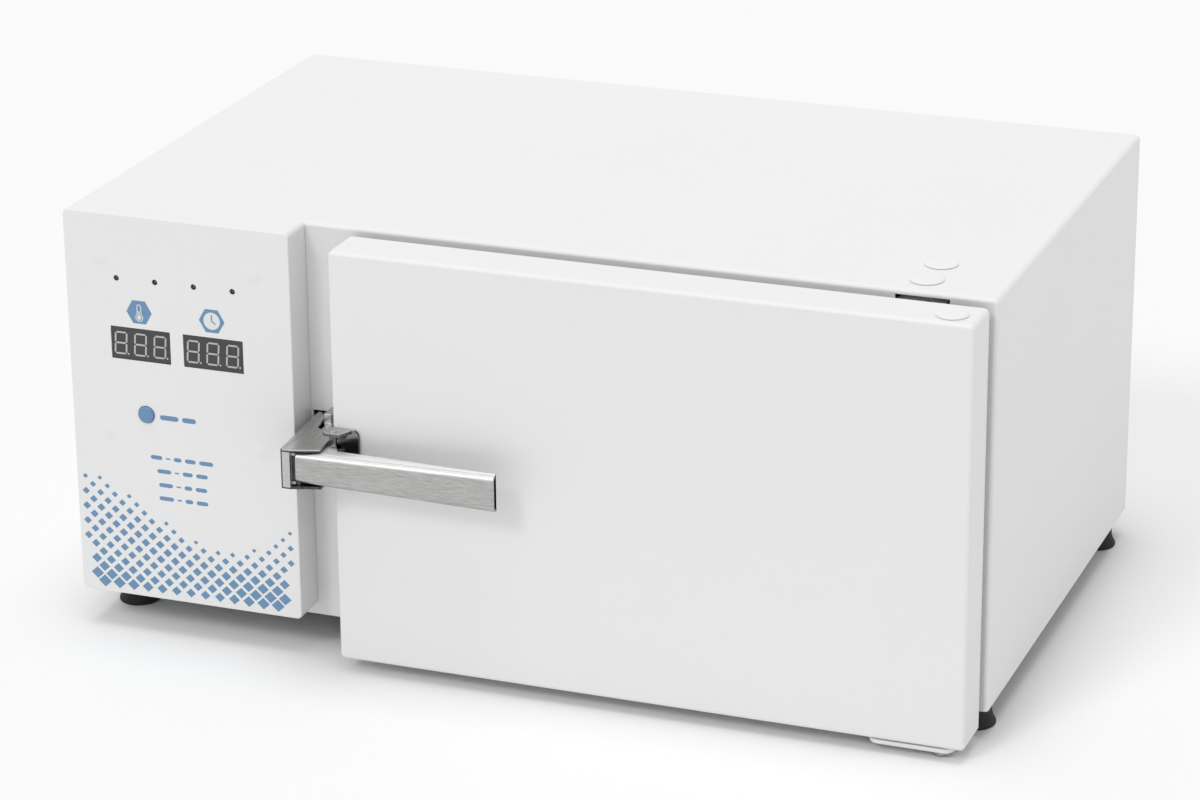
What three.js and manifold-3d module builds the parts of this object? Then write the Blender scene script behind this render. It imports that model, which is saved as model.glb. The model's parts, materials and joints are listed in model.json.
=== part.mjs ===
// Bench dry heat sterilizer with a side-hinged door, a toggle latch and a control panel
// Millimetres: x runs to the right, y to the rear and z up
// Pieces are placed from the case: y = 0 is the case front and z = 0 the case underside

import * as THREE from 'three';
import { mergeVertices } from 'three/addons/utils/BufferGeometryUtils.js';
import Module from 'manifold-3d';

const wasm = await Module();
wasm.setup();

// Shared clearances
const gap = 0.3;
const overrun = 5;
const rodSides = 24;
const pinSides = 16;
const studSides = 12;
const hexSides = 6;

// Driving dimensions of the sheet metal case
const cabinet = { width: 550, depth: 320, height: 243, wall: 1.2, fold: 3, rearFlange: 14 };
const base = { thickness: 1.5, upturn: 12, ventWidth: 4, ventLength: 60, ventPitch: 12, ventCount: 5 };
const panel = { width: 142.5, proud: 23.7, bottom: 6, wall: 1.2, fold: 3, rearLip: 8 };
const door = {
  strip: 29.5, rightInset: 3, topDrop: 3, bottomDrop: 9, rearGap: 7, thickness: 29, wall: 1.2, fold: 3,
};
const chamber = { jamb: 37.5, armRoom: 3.6, rearRoom: 75, wall: 1, flange: 14, flangeWall: 1, shift: 6 };
const wool = { thickness: 20 };
const foot = { height: 17.5, baseRadius: 12.5, waistRadius: 10, topRadius: 11, lip: 3, sideInset: 13.5, endInset: 22 };

// Faces of the case that other pieces line up with
const halfWidth = cabinet.width / 2;
const casingBack = cabinet.depth - cabinet.wall - gap;
const innerSide = halfWidth - cabinet.wall;
const innerTop = cabinet.height - cabinet.wall;
const baseTop = base.thickness;

// Faces of the control panel and of the door
const panelLeft = -halfWidth;
const panelRight = panelLeft + panel.width;
const panelFront = -panel.proud;
const panelInside = panelFront + panel.wall;
const doorLeft = panelRight + door.strip;
const doorRight = halfWidth - door.rightInset;
const doorTop = cabinet.height - door.topDrop;
const doorBottom = -door.bottomDrop;
const doorBack = -door.rearGap;
const doorFront = doorBack - door.thickness;

// Door hinge: a vertical axis near the right rear edge of the door
const hinge = {
  fromSide: 16, fromBack: 16, pinRadius: 3, armTop: 7, armThickness: 3, eyeRadius: 7.5,
  legLeft: 39, legRight: 22.5, legLow: 7.5, prongRight: 11, prongGap: 3, prongReach: 22,
  reach: 62, bossRadius: 6, slotLeft: 39, slotRight: 8, slotBelow: 7, slotAbove: 4,
  sweepLeft: 43, sweepRight: 10.5, sweepRoom: 1.6, bushRadius: 7, bushHeight: 1.7, pinTail: 7, headRadius: 5.5,
  prongRoot: 9.5,
};
const hingeX = doorRight - hinge.fromSide;
const hingeY = doorBack - hinge.fromBack;
const armTopZ = cabinet.height - hinge.armTop;
const armLowZ = armTopZ - hinge.armThickness;

// Chamber, placed behind the middle of the door, with wool between it and the hinge arm
const chamberMid = (doorLeft + doorRight) / 2 - chamber.shift;
const chamberWidth = doorRight - doorLeft - 2 * chamber.jamb;
const chamberLeft = chamberMid - chamberWidth / 2;
const chamberRight = chamberMid + chamberWidth / 2;
const chamberFloor = baseTop + gap + wool.thickness + gap + chamber.wall;
const chamberCeiling = armLowZ - chamber.armRoom - wool.thickness - gap - chamber.wall;
const chamberBack = cabinet.depth - chamber.rearRoom;
const linerFront = -gap - chamber.flangeWall;

// Lower hinge: a plate bent down under the case and forward under the door
const lowerHinge = {
  thickness: 2.5, washer: 0.9, left: 40.6, right: 8.5, corner: 6, front: 10, web: 3, webSetback: 2,
  tailWidth: 22, tailDepth: 58, washerRadius: 7, nutRadius: 6.5, nutHeight: 3.4, pinRise: 9, bushRadius: 8, bushHeight: 4,
};
const lowerPlateTop = doorBottom - gap - lowerHinge.washer - gap;
const lowerPlateLow = lowerPlateTop - lowerHinge.thickness;

// Round caps that cover the hinge fixings
const cap = {
  radius: 9.5, height: 0.9, stemRadius: 3, stemLength: 6, fromAxis: 26.5, firstSetback: 19, pitch: 28, doorRadius: 9,
};

// Toggle latch on the left edge of the door
const latch = {
  height: 116.5, sheet: 1.5, pivotSetback: 5, pivotFromDoor: 8, linkSide: 8, linkForward: 11.5, pinRadius: 2,
  leverProud: 24, leverReach: 108, leverDepth: 10.5, endDepth: 4.5, leftHalf: 9.4, rightHalf: 11.2,
  lugDepth: 21, lugRadius: 5.2, lugRight: 8.5, lugFoot: 14, webSetback: 0.2,
  linkSheet: 1.6, linkRoom: 0.4, linkClear: 0.7, linkWebWidth: 5.4, linkSkin: 0.5,
};
const pivotX = doorLeft - latch.pivotSetback;
const pivotY = doorFront - latch.pivotFromDoor;
const linkPinX = pivotX - latch.linkSide;
const linkPinY = pivotY - latch.linkForward;
const leverFront = doorFront - latch.leverProud;
const linkFront = leverFront - latch.linkSheet - latch.linkRoom;
const leverEnd = doorLeft + latch.leverReach;
const earLow = latch.height + latch.leftHalf + latch.linkClear + gap;
const earHigh = earLow + latch.linkSheet;
const lowEarHigh = latch.height - latch.leftHalf - latch.linkClear - gap;
const lowEarLow = lowEarHigh - latch.linkSheet;

// The whole part is centred on the middle of its length from the latch to the rear
const rear = { inletFlange: 2.7 };
const rearReach = cabinet.depth + gap + rear.inletFlange;
const middleY = (rearReach + linkFront) / 2;

// Solids from three.js geometry, joined and cut

function toSolid(geometry) {
  const plain = geometry.clone();
  plain.deleteAttribute('normal');
  plain.deleteAttribute('uv');
  const merged = mergeVertices(plain);
  return new wasm.Manifold(new wasm.Mesh({
    numProp: 3,
    vertProperties: new Float32Array(merged.attributes.position.array),
    triVerts: new Uint32Array(merged.index.array),
  }));
}

function toGeometry(solid) {
  const mesh = solid.getMesh();
  const geometry = new THREE.BufferGeometry();
  geometry.setAttribute('position', new THREE.BufferAttribute(new Float32Array(mesh.vertProperties), 3));
  geometry.setIndex(new THREE.BufferAttribute(new Uint32Array(mesh.triVerts), 1));
  geometry.computeVertexNormals();
  return geometry;
}

// A box given by its faces along x, y and z
function block([left, right], [front, back], [low, high]) {
  const geometry = new THREE.BoxGeometry(right - left, back - front, high - low);
  geometry.translate((left + right) / 2, (front + back) / 2, (low + high) / 2);
  return toSolid(geometry);
}

// A round rod along one axis; centre holds the other two coordinates in x, y, z order
function rod(axis, centre, radius, [from, to], sides = rodSides) {
  const geometry = new THREE.CylinderGeometry(radius, radius, to - from, sides);
  const middle = (from + to) / 2;
  if (axis === 'z') {
    geometry.rotateX(Math.PI / 2);
    geometry.translate(centre[0], centre[1], middle);
  }
  if (axis === 'y') geometry.translate(centre[0], middle, centre[1]);
  if (axis === 'x') {
    geometry.rotateZ(Math.PI / 2);
    geometry.translate(middle, centre[0], centre[1]);
  }
  return toSolid(geometry);
}

// An outline extruded along x, y or z; its points hold the other two coordinates in x, y, z order
function prism(axis, outline, [from, to], arcSteps = 5) {
  const shape = outline instanceof THREE.Shape
    ? outline
    : new THREE.Shape(outline.map(([u, v]) => new THREE.Vector2(u, v)));
  const options = { depth: to - from, bevelEnabled: false, curveSegments: arcSteps };
  const geometry = new THREE.ExtrudeGeometry(shape, options);
  if (axis === 'z') geometry.translate(0, 0, from);
  if (axis === 'y') {
    geometry.rotateX(Math.PI / 2);
    geometry.translate(0, to, 0);
  }
  if (axis === 'x') {
    const turn = new THREE.Matrix4().makeBasis(
      new THREE.Vector3(0, 1, 0), new THREE.Vector3(0, 0, 1), new THREE.Vector3(1, 0, 0),
    );
    geometry.applyMatrix4(turn);
    geometry.translate(from, 0, 0);
  }
  return toSolid(geometry);
}

// A rectangle with rounded corners
function softRectangle([left, right], [low, high], radius) {
  const shape = new THREE.Shape();
  shape.moveTo(left + radius, low);
  shape.lineTo(right - radius, low);
  shape.absarc(right - radius, low + radius, radius, -Math.PI / 2, 0);
  shape.lineTo(right, high - radius);
  shape.absarc(right - radius, high - radius, radius, 0, Math.PI / 2);
  shape.lineTo(left + radius, high);
  shape.absarc(left + radius, high - radius, radius, Math.PI / 2, Math.PI);
  shape.lineTo(left, low + radius);
  shape.absarc(left + radius, low + radius, radius, Math.PI, 1.5 * Math.PI);
  return shape;
}

// A span made smaller by the same amount at both ends
function shrink([from, to], amount) {
  return [from + amount, to - amount];
}

function around(middle, size) {
  return [middle - size / 2, middle + size / 2];
}

function joined(...solids) {
  return solids.reduce((sum, solid) => sum.add(solid));
}

// Materials by the finish of each piece

const finishes = {
  whitePaint: [0xe9eaea, 0.45, 0],
  brushedSteel: [0xb4b3b0, 0.35, 1],
  linerSteel: [0xc4c5c6, 0.3, 1],
  zincSteel: [0x9da1a4, 0.45, 1],
  blackRubber: [0x1c1d1e, 0.8, 0],
  grayRubber: [0x8f8d88, 0.7, 0],
  darkDisplay: [0x4a4c50, 0.3, 0],
  bluePlastic: [0x4f7fc0, 0.4, 0],
  clearPlastic: [0xd9d6d2, 0.25, 0],
  blackPlastic: [0x202122, 0.5, 0],
  greenBoard: [0x2f6b3f, 0.5, 0],
  stoneWool: [0xb9ae8e, 0.95, 0],
  whitePlastic: [0xeff0f0, 0.4, 0],
  copperWinding: [0x9a5a35, 0.4, 1],
};

const materials = Object.fromEntries(Object.entries(finishes).map(([name, [color, roughness, metalness]]) => [
  name, new THREE.MeshStandardMaterial({ color, roughness, metalness }),
]));

const assembly = new THREE.Group();
assembly.position.set(0, -middleY, foot.height);

function place(name, solid, finish) {
  const mesh = new THREE.Mesh(toGeometry(solid), materials[finish]);
  mesh.name = name;
  assembly.add(mesh);
}

// Openings in the case front that several pieces share

const boardWindow = { sideMargin: 16, low: 40, topMargin: 28 };
const latchPocket = { left: 1.1, right: 11.5, room: 0.5 };

// Casing: top, two sides and the case front in one folded sheet, open below and at the rear

function casing() {
  const outline = softRectangle([-halfWidth, halfWidth], [-cabinet.fold - overrun, cabinet.height], cabinet.fold);
  const inside = softRectangle(
    [-innerSide, innerSide], [-cabinet.fold - 2 * overrun, innerTop], cabinet.fold - cabinet.wall,
  );
  const body = prism('y', outline, [0, casingBack]);
  const hollow = prism('y', inside, [cabinet.wall, casingBack - cabinet.wall]);
  const rearHole = block(
    [-innerSide + cabinet.rearFlange, innerSide - cabinet.rearFlange],
    [casingBack - cabinet.wall - overrun, casingBack + overrun],
    [-overrun, innerTop - cabinet.rearFlange],
  );
  const below = block(
    [-halfWidth - overrun, halfWidth + overrun], [-overrun, casingBack + overrun], [-cabinet.fold - 3 * overrun, 0],
  );
  const frontCut = [-overrun, cabinet.wall + overrun];
  const chamberHole = block(
    [chamberLeft - chamber.wall - gap, chamberRight + chamber.wall + gap],
    frontCut,
    [chamberFloor - chamber.wall - gap, chamberCeiling + chamber.wall + gap],
  );
  const boardHole = block(
    shrink([panelLeft, panelRight], boardWindow.sideMargin),
    frontCut,
    [boardWindow.low, cabinet.height - boardWindow.topMargin],
  );
  const hingeSlot = block(
    [hingeX - hinge.slotLeft, hingeX - hinge.slotRight],
    frontCut,
    [armLowZ - hinge.slotBelow, armTopZ + hinge.slotAbove],
  );
  const pocket = block(
    [panelRight + latchPocket.left, panelRight + latchPocket.right],
    frontCut,
    shrink([lowEarLow, earHigh], -latchPocket.room),
  );
  let solid = body.subtract(hollow).subtract(rearHole).subtract(below);
  solid = solid.subtract(chamberHole).subtract(boardHole).subtract(hingeSlot).subtract(pocket);
  for (const centre of capCentres) {
    solid = solid.subtract(rod('z', centre, cap.stemRadius + gap, [innerTop - overrun, cabinet.height + overrun]));
  }
  for (const [x, z] of rearScrewCentres) {
    solid = solid.subtract(rod('y', [x, z], rearScrew.holeRadius, [casingBack - overrun, casingBack + overrun]));
  }
  return solid;
}

const capX = hingeX - cap.fromAxis;
const capCentres = [[capX, cap.firstSetback], [capX, cap.firstSetback + cap.pitch]];

// Rear cover, screwed to the flanges of the casing

const rearScrew = { radius: 1.7, holeRadius: 2.1, headRadius: 3.8, headHeight: 2, length: 8, inset: 8 };
const coverTop = cabinet.height - gap;
const rearScrewCentres = [
  [-innerSide + rearScrew.inset, rearScrew.inset + base.upturn],
  [innerSide - rearScrew.inset, rearScrew.inset + base.upturn],
  [-innerSide + rearScrew.inset, innerTop - rearScrew.inset],
  [innerSide - rearScrew.inset, innerTop - rearScrew.inset],
];

const inlet = {
  fromSide: 70, z: 62, flangeWidth: 50, flangeHeight: 34, bodyWidth: 28, bodyHeight: 30, bodyDepth: 26,
  cavityWidth: 24.5, cavityHeight: 16.5, cavityDepth: 15, cavityDrop: 5, bladeWidth: 2, bladeHeight: 4,
  bladeLength: 12, bladePitch: 7, drawerWidth: 22, drawerHeight: 7, drawerDepth: 20, drawerRise: 9, drawerFace: 1.4,
};
const powerSwitch = {
  fromSide: 125, z: 62, bezelWidth: 23, bezelHeight: 31, bodyWidth: 20.6, bodyHeight: 28.6, bodyDepth: 18,
  rockerWidth: 17.6, rockerHeight: 24, sideRoom: 0.5, endRoom: 1.2, axisDepth: 5.4, bezelDepth: 2,
  endReach: 1.8, notch: 1.5, skirt: 3, heel: 4, heelDepth: 3,
};
const vents = { shift: 1.5, topDrop: 48, width: 90, height: 4, pitch: 9, count: 5 };
const inletX = -halfWidth + inlet.fromSide;
const switchX = -halfWidth + powerSwitch.fromSide;

function rearCover() {
  const depthSpan = [casingBack + gap, cabinet.depth];
  const through = [casingBack - overrun, cabinet.depth + overrun];
  let solid = prism('y', softRectangle([-halfWidth + gap, halfWidth - gap], [gap, coverTop], cabinet.fold), depthSpan);
  solid = solid.subtract(block(
    around(inletX, inlet.bodyWidth + 2 * gap), through, around(inlet.z, inlet.bodyHeight + 2 * gap),
  ));
  solid = solid.subtract(block(
    around(switchX, powerSwitch.bodyWidth + 2 * gap),
    through,
    around(powerSwitch.z, powerSwitch.bodyHeight + 2 * gap),
  ));
  for (let row = 0; row < vents.count; row += 1) {
    solid = solid.subtract(block(
      around(chamberMid + vents.shift, vents.width),
      through,
      around(cabinet.height - vents.topDrop - row * vents.pitch, vents.height),
    ));
  }
  for (const [x, z] of rearScrewCentres) {
    solid = solid.subtract(rod('y', [x, z], rearScrew.holeRadius, through));
  }
  return solid;
}

function rearScrewSolid([x, z]) {
  const head = cabinet.depth + gap;
  const shank = rod('y', [x, z], rearScrew.radius, [head - rearScrew.length, head + gap], studSides);
  return shank.add(rod('y', [x, z], rearScrew.headRadius, [head, head + rearScrew.headHeight]));
}

// Base pan with turned-up edges, vents and a hole for each foot stud

const studRadius = 3;
const footCentres = [
  [-halfWidth + foot.sideInset, foot.endInset],
  [halfWidth - foot.sideInset, foot.endInset],
  [-halfWidth + foot.sideInset, cabinet.depth - foot.endInset],
  [halfWidth - foot.sideInset, cabinet.depth - foot.endInset],
];

function basePan() {
  const across = [-innerSide + gap, innerSide - gap];
  const along = [cabinet.wall + gap, casingBack - cabinet.wall - gap];
  let solid = block(across, along, [0, base.thickness + base.upturn]);
  solid = solid.subtract(block(
    shrink(across, base.thickness),
    [along[0] - overrun, along[1] + overrun],
    [base.thickness, base.thickness + base.upturn + overrun],
  ));
  for (const centre of footCentres) {
    solid = solid.subtract(rod('z', centre, studRadius + gap, [-overrun, base.thickness + overrun]));
  }
  const bayMid = (-halfWidth + panelRight) / 2;
  for (let row = 0; row < base.ventCount; row += 1) {
    solid = solid.subtract(block(
      around(bayMid, base.ventLength),
      around(cabinet.depth / 3 + row * base.ventPitch, base.ventWidth),
      [-overrun, base.thickness + overrun],
    ));
  }
  return solid;
}

// Rubber foot: a flared base, a waist and a stud through the base pan

function footSolid([x, y]) {
  const profile = [
    [0, -foot.height],
    [foot.baseRadius - foot.lip / 4, -foot.height],
    [foot.baseRadius, -foot.height + foot.lip / 3],
    [foot.baseRadius - foot.lip / 3, -foot.height + foot.lip],
    [foot.waistRadius, -foot.height / 2],
    [foot.topRadius, -gap],
    [studRadius, -gap],
    [studRadius, base.thickness + foot.lip],
    [0, base.thickness + foot.lip],
  ];
  const geometry = new THREE.LatheGeometry(profile.map(([r, z]) => new THREE.Vector2(r, z)), rodSides);
  geometry.rotateX(Math.PI / 2);
  geometry.translate(x, y, 0);
  return toSolid(geometry);
}

// Control panel: a shallow box on the case front, with windows for the displays, lights and button

const display = {
  width: 37.4, height: 19.3, middleShift: 1.8, pitch: 46.3, topDrop: 78.2, recess: 0.3,
};
const light = { count: 4, pitch: 24.6, topDrop: 38.7, radius: 1.45, collar: 2.2, collarHeight: 1.5, recess: 0.5 };
const button = {
  fromLeft: 47.8, topDrop: 120.9, radius: 5, travel: 1.2, proud: 1.5, collar: 6.4, collarHeight: 1.6, endGap: 0.4,
};
const displayBoard = { thickness: 1.6, behindPanel: 9, margin: 12, top: 26, height: 122 };
const standoff = { radius: 3, topDrop: 27, sideInset: 22, boardDrop: 108 };
const panelMid = (panelLeft + panelRight) / 2 - display.middleShift;
const boardFront = panelInside + displayBoard.behindPanel;
const displayZ = cabinet.height - display.topDrop;
const lightZ = cabinet.height - light.topDrop;
const buttonZ = cabinet.height - button.topDrop;
const displayCentres = [-1, 1].map((side) => panelMid + side * display.pitch / 2);
const lightCentres = Array.from({ length: light.count }, (_, i) => panelMid + (i - (light.count - 1) / 2) * light.pitch);
const buttonX = panelLeft + button.fromLeft;
const standoffCentres = [
  [panelLeft + standoff.sideInset, cabinet.height - standoff.topDrop],
  [panelRight - standoff.sideInset, cabinet.height - standoff.topDrop],
  [panelLeft + standoff.sideInset, cabinet.height - standoff.topDrop - standoff.boardDrop],
  [panelRight - standoff.sideInset, cabinet.height - standoff.topDrop - standoff.boardDrop],
];

function controlPanel() {
  const across = [panelLeft, panelRight];
  const rise = [panel.bottom, cabinet.height];
  const wallCut = [panelFront - overrun, panelInside + overrun];
  let solid = prism('y', softRectangle(across, rise, panel.fold), [panelFront, -gap]);
  solid = solid.subtract(block(
    shrink(across, panel.wall), [panelInside, -gap - panel.wall], shrink(rise, panel.wall),
  ));
  solid = solid.subtract(block(
    shrink(across, panel.wall + panel.rearLip),
    [-gap - panel.wall - overrun, overrun],
    shrink(rise, panel.wall + panel.rearLip),
  ));
  for (const x of displayCentres) {
    solid = solid.subtract(block(
      around(x, display.width + 2 * gap), wallCut, around(displayZ, display.height + 2 * gap),
    ));
  }
  for (const x of lightCentres) {
    solid = solid.subtract(rod('y', [x, lightZ], light.radius + gap, wallCut, pinSides));
  }
  solid = solid.subtract(rod('y', [buttonX, buttonZ], button.radius + gap, wallCut));
  for (const centre of standoffCentres) {
    solid = solid.add(rod('y', centre, standoff.radius, [panelInside - panel.wall / 2, boardFront - gap], studSides));
  }
  return solid;
}

// Display board and what is soldered to it

function displayBoardSolid() {
  const top = cabinet.height - displayBoard.top + standoff.radius;
  return block(
    shrink([panelLeft, panelRight], displayBoard.margin),
    [boardFront, boardFront + displayBoard.thickness],
    [top - displayBoard.height, top],
  );
}

function displaySolid(x) {
  return block(
    around(x, display.width), [panelFront + display.recess, boardFront - gap], around(displayZ, display.height),
  );
}

function lightSolid(x) {
  const centre = [x, lightZ];
  const stem = rod('y', centre, light.radius, [panelFront + light.recess, boardFront - gap], pinSides);
  return stem.add(rod('y', centre, light.collar, [boardFront - gap - light.collarHeight, boardFront - gap], pinSides));
}

const tact = { size: 6.2, plunger: 1.75, height: 2 };
const buttonRear = boardFront - gap - tact.height - button.endGap - button.travel;

function programButton() {
  const centre = [buttonX, buttonZ];
  const stem = rod('y', centre, button.radius, [panelFront - button.proud, buttonRear]);
  return stem.add(rod('y', centre, button.collar, [panelInside + gap, panelInside + gap + button.collarHeight]));
}

function tactSwitch() {
  const front = buttonRear + button.travel + button.endGap;
  const bodyFront = front + (boardFront - gap - front) / 2;
  const body = block(around(buttonX, tact.size), [bodyFront, boardFront - gap], around(buttonZ, tact.size));
  return body.add(rod('y', [buttonX, buttonZ], tact.plunger, [front, boardFront - gap], studSides));
}

// Chamber liner: an open-front steel box with a flange in front of the case front

const linerPort = { radius: 4, fromRight: 60, topDrop: 40 };

function chamberLiner() {
  const across = [chamberLeft, chamberRight];
  const rise = [chamberFloor, chamberCeiling];
  const body = block(
    shrink(across, -chamber.wall), [linerFront, chamberBack + chamber.wall], shrink(rise, -chamber.wall),
  );
  const flange = block(
    shrink(across, -chamber.flange), [linerFront, linerFront + chamber.flangeWall], shrink(rise, -chamber.flange),
  );
  const hollow = block(across, [linerFront - overrun, chamberBack], rise);
  const port = rod(
    'y',
    [chamberRight - linerPort.fromRight, chamberCeiling - linerPort.topDrop],
    linerPort.radius,
    [chamberBack - overrun, chamberBack + overrun],
    pinSides,
  );
  return body.add(flange).subtract(hollow).subtract(port);
}

// Heating elements lie in pockets of the wool, below the floor and above the ceiling of the chamber

const heater = {
  sideRoom: 25, rearRoom: 21, tube: 3.2, legs: 5, setback: 24, room: 1, sides: 8, bendSteps: 24,
};
const heaterPocket = 2 * heater.tube + heater.room;
const heaterSpan = shrink([chamberLeft, chamberRight], heater.sideRoom);
const heaterBack = chamberBack - heater.rearRoom;

// A serpentine tube: straight legs joined by half turns
function heaterSolid(z) {
  const pitch = (heaterSpan[1] - heaterSpan[0]) / (heater.legs - 1);
  const bend = pitch / 2;
  const front = heater.setback + bend + heater.tube;
  const back = heaterBack - bend - heater.tube;
  const path = new THREE.CurvePath();
  for (let leg = 0; leg < heater.legs; leg += 1) {
    const x = heaterSpan[0] + leg * pitch;
    const forward = leg % 2 === 1;
    const start = forward ? back : front;
    const end = forward ? front : back;
    path.add(new THREE.LineCurve3(new THREE.Vector3(x, start, z), new THREE.Vector3(x, end, z)));
    if (leg < heater.legs - 1) path.add(new HalfTurn(x, end, z, bend, forward ? -1 : 1));
  }
  const circle = new THREE.Shape();
  circle.absarc(0, 0, heater.tube, 0, 2 * Math.PI);
  const geometry = new THREE.ExtrudeGeometry(circle, {
    extrudePath: path, steps: heater.legs * heater.bendSteps, curveSegments: heater.sides / 2, bevelEnabled: false,
  });
  return toSolid(geometry);
}

class HalfTurn extends THREE.Curve {
  constructor(x, y, z, radius, way) {
    super();
    Object.assign(this, { x, y, z, radius, way });
  }

  getPoint(t) {
    const angle = Math.PI * t;
    return new THREE.Vector3(
      this.x + this.radius * (1 - Math.cos(angle)), this.y + this.way * this.radius * Math.sin(angle), this.z,
    );
  }
}

const linerLow = chamberFloor - chamber.wall;
const linerHigh = chamberCeiling + chamber.wall;
const lowerHeaterZ = linerLow - gap - heater.tube;
const upperHeaterZ = linerHigh + gap + heater.tube;

// Stone wool round the liner, open at the front

function chamberWool() {
  const room = chamber.wall + gap;
  const across = shrink([chamberLeft, chamberRight], -room);
  const rise = shrink([chamberFloor, chamberCeiling], -room);
  const back = chamberBack + room;
  let solid = block(
    shrink(across, -wool.thickness),
    [cabinet.wall + gap, back + wool.thickness],
    shrink(rise, -wool.thickness),
  );
  solid = solid.subtract(block(across, [-overrun, back], rise));
  const pocketSpan = shrink(heaterSpan, -heaterPocket);
  const pocketDepth = [heater.setback - heaterPocket, heaterBack + heaterPocket];
  solid = solid.subtract(block(pocketSpan, pocketDepth, [rise[0] - heaterPocket, rise[0] + overrun]));
  solid = solid.subtract(block(pocketSpan, pocketDepth, [rise[1] - overrun, rise[1] + heaterPocket]));
  solid = solid.subtract(rod(
    'y',
    [chamberRight - linerPort.fromRight, chamberCeiling - linerPort.topDrop],
    linerPort.radius + gap,
    [back - overrun, back + wool.thickness + overrun],
    pinSides,
  ));
  return solid;
}

// Temperature probe through the rear wall of the chamber, and the over-temperature switch on the wool

const probe = { radius: 3, length: 60, collar: 7, collarHeight: 4 };
const cutout = { width: 24, height: 16, depth: 12, fromRight: 110, topDrop: 60 };
const woolBack = chamberBack + chamber.wall + gap + wool.thickness;

function temperatureProbe() {
  const centre = [chamberRight - linerPort.fromRight, chamberCeiling - linerPort.topDrop];
  const collarFront = woolBack + gap;
  const stem = rod('y', centre, probe.radius, [collarFront - probe.length, collarFront + gap], pinSides);
  return stem.add(rod('y', centre, probe.collar, [collarFront, collarFront + probe.collarHeight]));
}

function overheatSwitch() {
  const front = woolBack + gap;
  const x = chamberRight - cutout.fromRight;
  const z = chamberCeiling - cutout.topDrop;
  const body = block(around(x, cutout.width), [front, front + cutout.depth / 2], around(z, cutout.height));
  return body.add(rod('y', [x, z], cutout.height / 2 - gap, [front, front + cutout.depth]));
}

// Shelf rails on the chamber walls and the two trays that slide on them

const rail = { thickness: 1.2, ledge: 9, front: 24, back: 18, heights: [34, 96], rise: 10 };
const tray = {
  sideRoom: 1.2, rim: 11, thickness: 1, front: 8, rearRoom: 9, slotWidth: 5, slotRows: 9, slotColumns: 4, border: 18,
};

function railSolid(side) {
  const wall = side < 0 ? chamberLeft + gap : chamberRight - gap;
  const face = wall - side * rail.thickness;
  const tip = wall - side * rail.ledge;
  const along = [rail.front, chamberBack - rail.back];
  const ordered = (a, b) => [Math.min(a, b), Math.max(a, b)];
  const low = chamberFloor + gap;
  const high = chamberFloor + rail.heights[rail.heights.length - 1] + rail.rise;
  let solid = block(ordered(wall, face), along, [low, high]);
  for (const height of rail.heights) {
    const z = chamberFloor + height;
    solid = solid.add(block(ordered(wall, tip), along, [z, z + rail.thickness]));
  }
  return solid;
}

function traySolid(level) {
  const room = gap + rail.thickness + tray.sideRoom;
  const across = [chamberLeft + room, chamberRight - room];
  const along = [tray.front, chamberBack - tray.rearRoom];
  const low = chamberFloor + rail.heights[level] + rail.thickness + gap;
  let solid = block(across, along, [low, low + tray.rim]);
  solid = solid.subtract(block(
    shrink(across, tray.thickness),
    shrink(along, tray.thickness),
    [low + tray.thickness, low + tray.rim + overrun],
  ));
  const field = shrink(across, tray.border);
  const rowField = shrink(along, tray.border);
  const columnPitch = (field[1] - field[0]) / tray.slotColumns;
  const rowPitch = (rowField[1] - rowField[0]) / (tray.slotRows - 1);
  for (let column = 0; column < tray.slotColumns; column += 1) {
    for (let row = 0; row < tray.slotRows; row += 1) {
      const x = field[0] + (column + 0.5) * columnPitch;
      const y = rowField[0] + row * rowPitch;
      solid = solid.subtract(block(
        around(x, columnPitch - tray.border / 2),
        around(y, tray.slotWidth),
        [low - overrun, low + tray.thickness + overrun],
      ));
    }
  }
  return solid;
}

// Electronics bay: a bulkhead beside the wool carries the control board and the heater relay

const bulkhead = { thickness: 1.2, clear: 18, frontRoom: 4, rearRoom: 6, topRoom: 2, postRadius: 3, postLength: 8 };
const bulkheadRight = chamberLeft - chamber.wall - gap - wool.thickness - bulkhead.clear;
const bulkheadLeft = bulkheadRight - bulkhead.thickness;
const controlBoard = { thickness: 1.6, front: 34, rearRoom: 94.5, low: 60, topRoom: 31.8, inset: 10 };
const boardRight = bulkheadLeft - bulkhead.postLength - gap;
const boardLeft = boardRight - controlBoard.thickness;
const boardAlong = [controlBoard.front, casingBack - controlBoard.rearRoom];
const boardRise = [controlBoard.low, innerTop - controlBoard.topRoom];
const boardPosts = shrink(boardAlong, controlBoard.inset).flatMap(
  (y) => shrink(boardRise, controlBoard.inset).map((z) => [y, z]),
);

function bulkheadSolid() {
  let solid = block(
    [bulkheadLeft, bulkheadRight],
    [cabinet.wall + bulkhead.frontRoom, casingBack - cabinet.wall - bulkhead.rearRoom],
    [baseTop + gap, innerTop - bulkhead.topRoom],
  );
  for (const [y, z] of boardPosts) {
    solid = solid.add(rod(
      'x', [y, z], bulkhead.postRadius, [bulkheadLeft - bulkhead.postLength, bulkheadLeft + bulkhead.thickness / 2], studSides,
    ));
  }
  return solid;
}

// Parts on the control board, each with its place as shares of the board's length and height
const processor = { length: 28, height: 28, rise: 2.2, alongShare: 0.22, upShare: 0.72 };
const frontRelay = { length: 20, height: 16, rise: 15, alongShare: 0.6, upShare: 0.7 };
const rearRelay = { length: 20, height: 16, rise: 15, alongShare: 0.82, upShare: 0.7 };
const boardSupply = { length: 36, height: 30, rise: 24, alongShare: 0.28, upShare: 0.3 };
const terminalStrip = { length: 60, height: 12, rise: 11, alongShare: 0.66, upShare: 0.2 };

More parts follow.
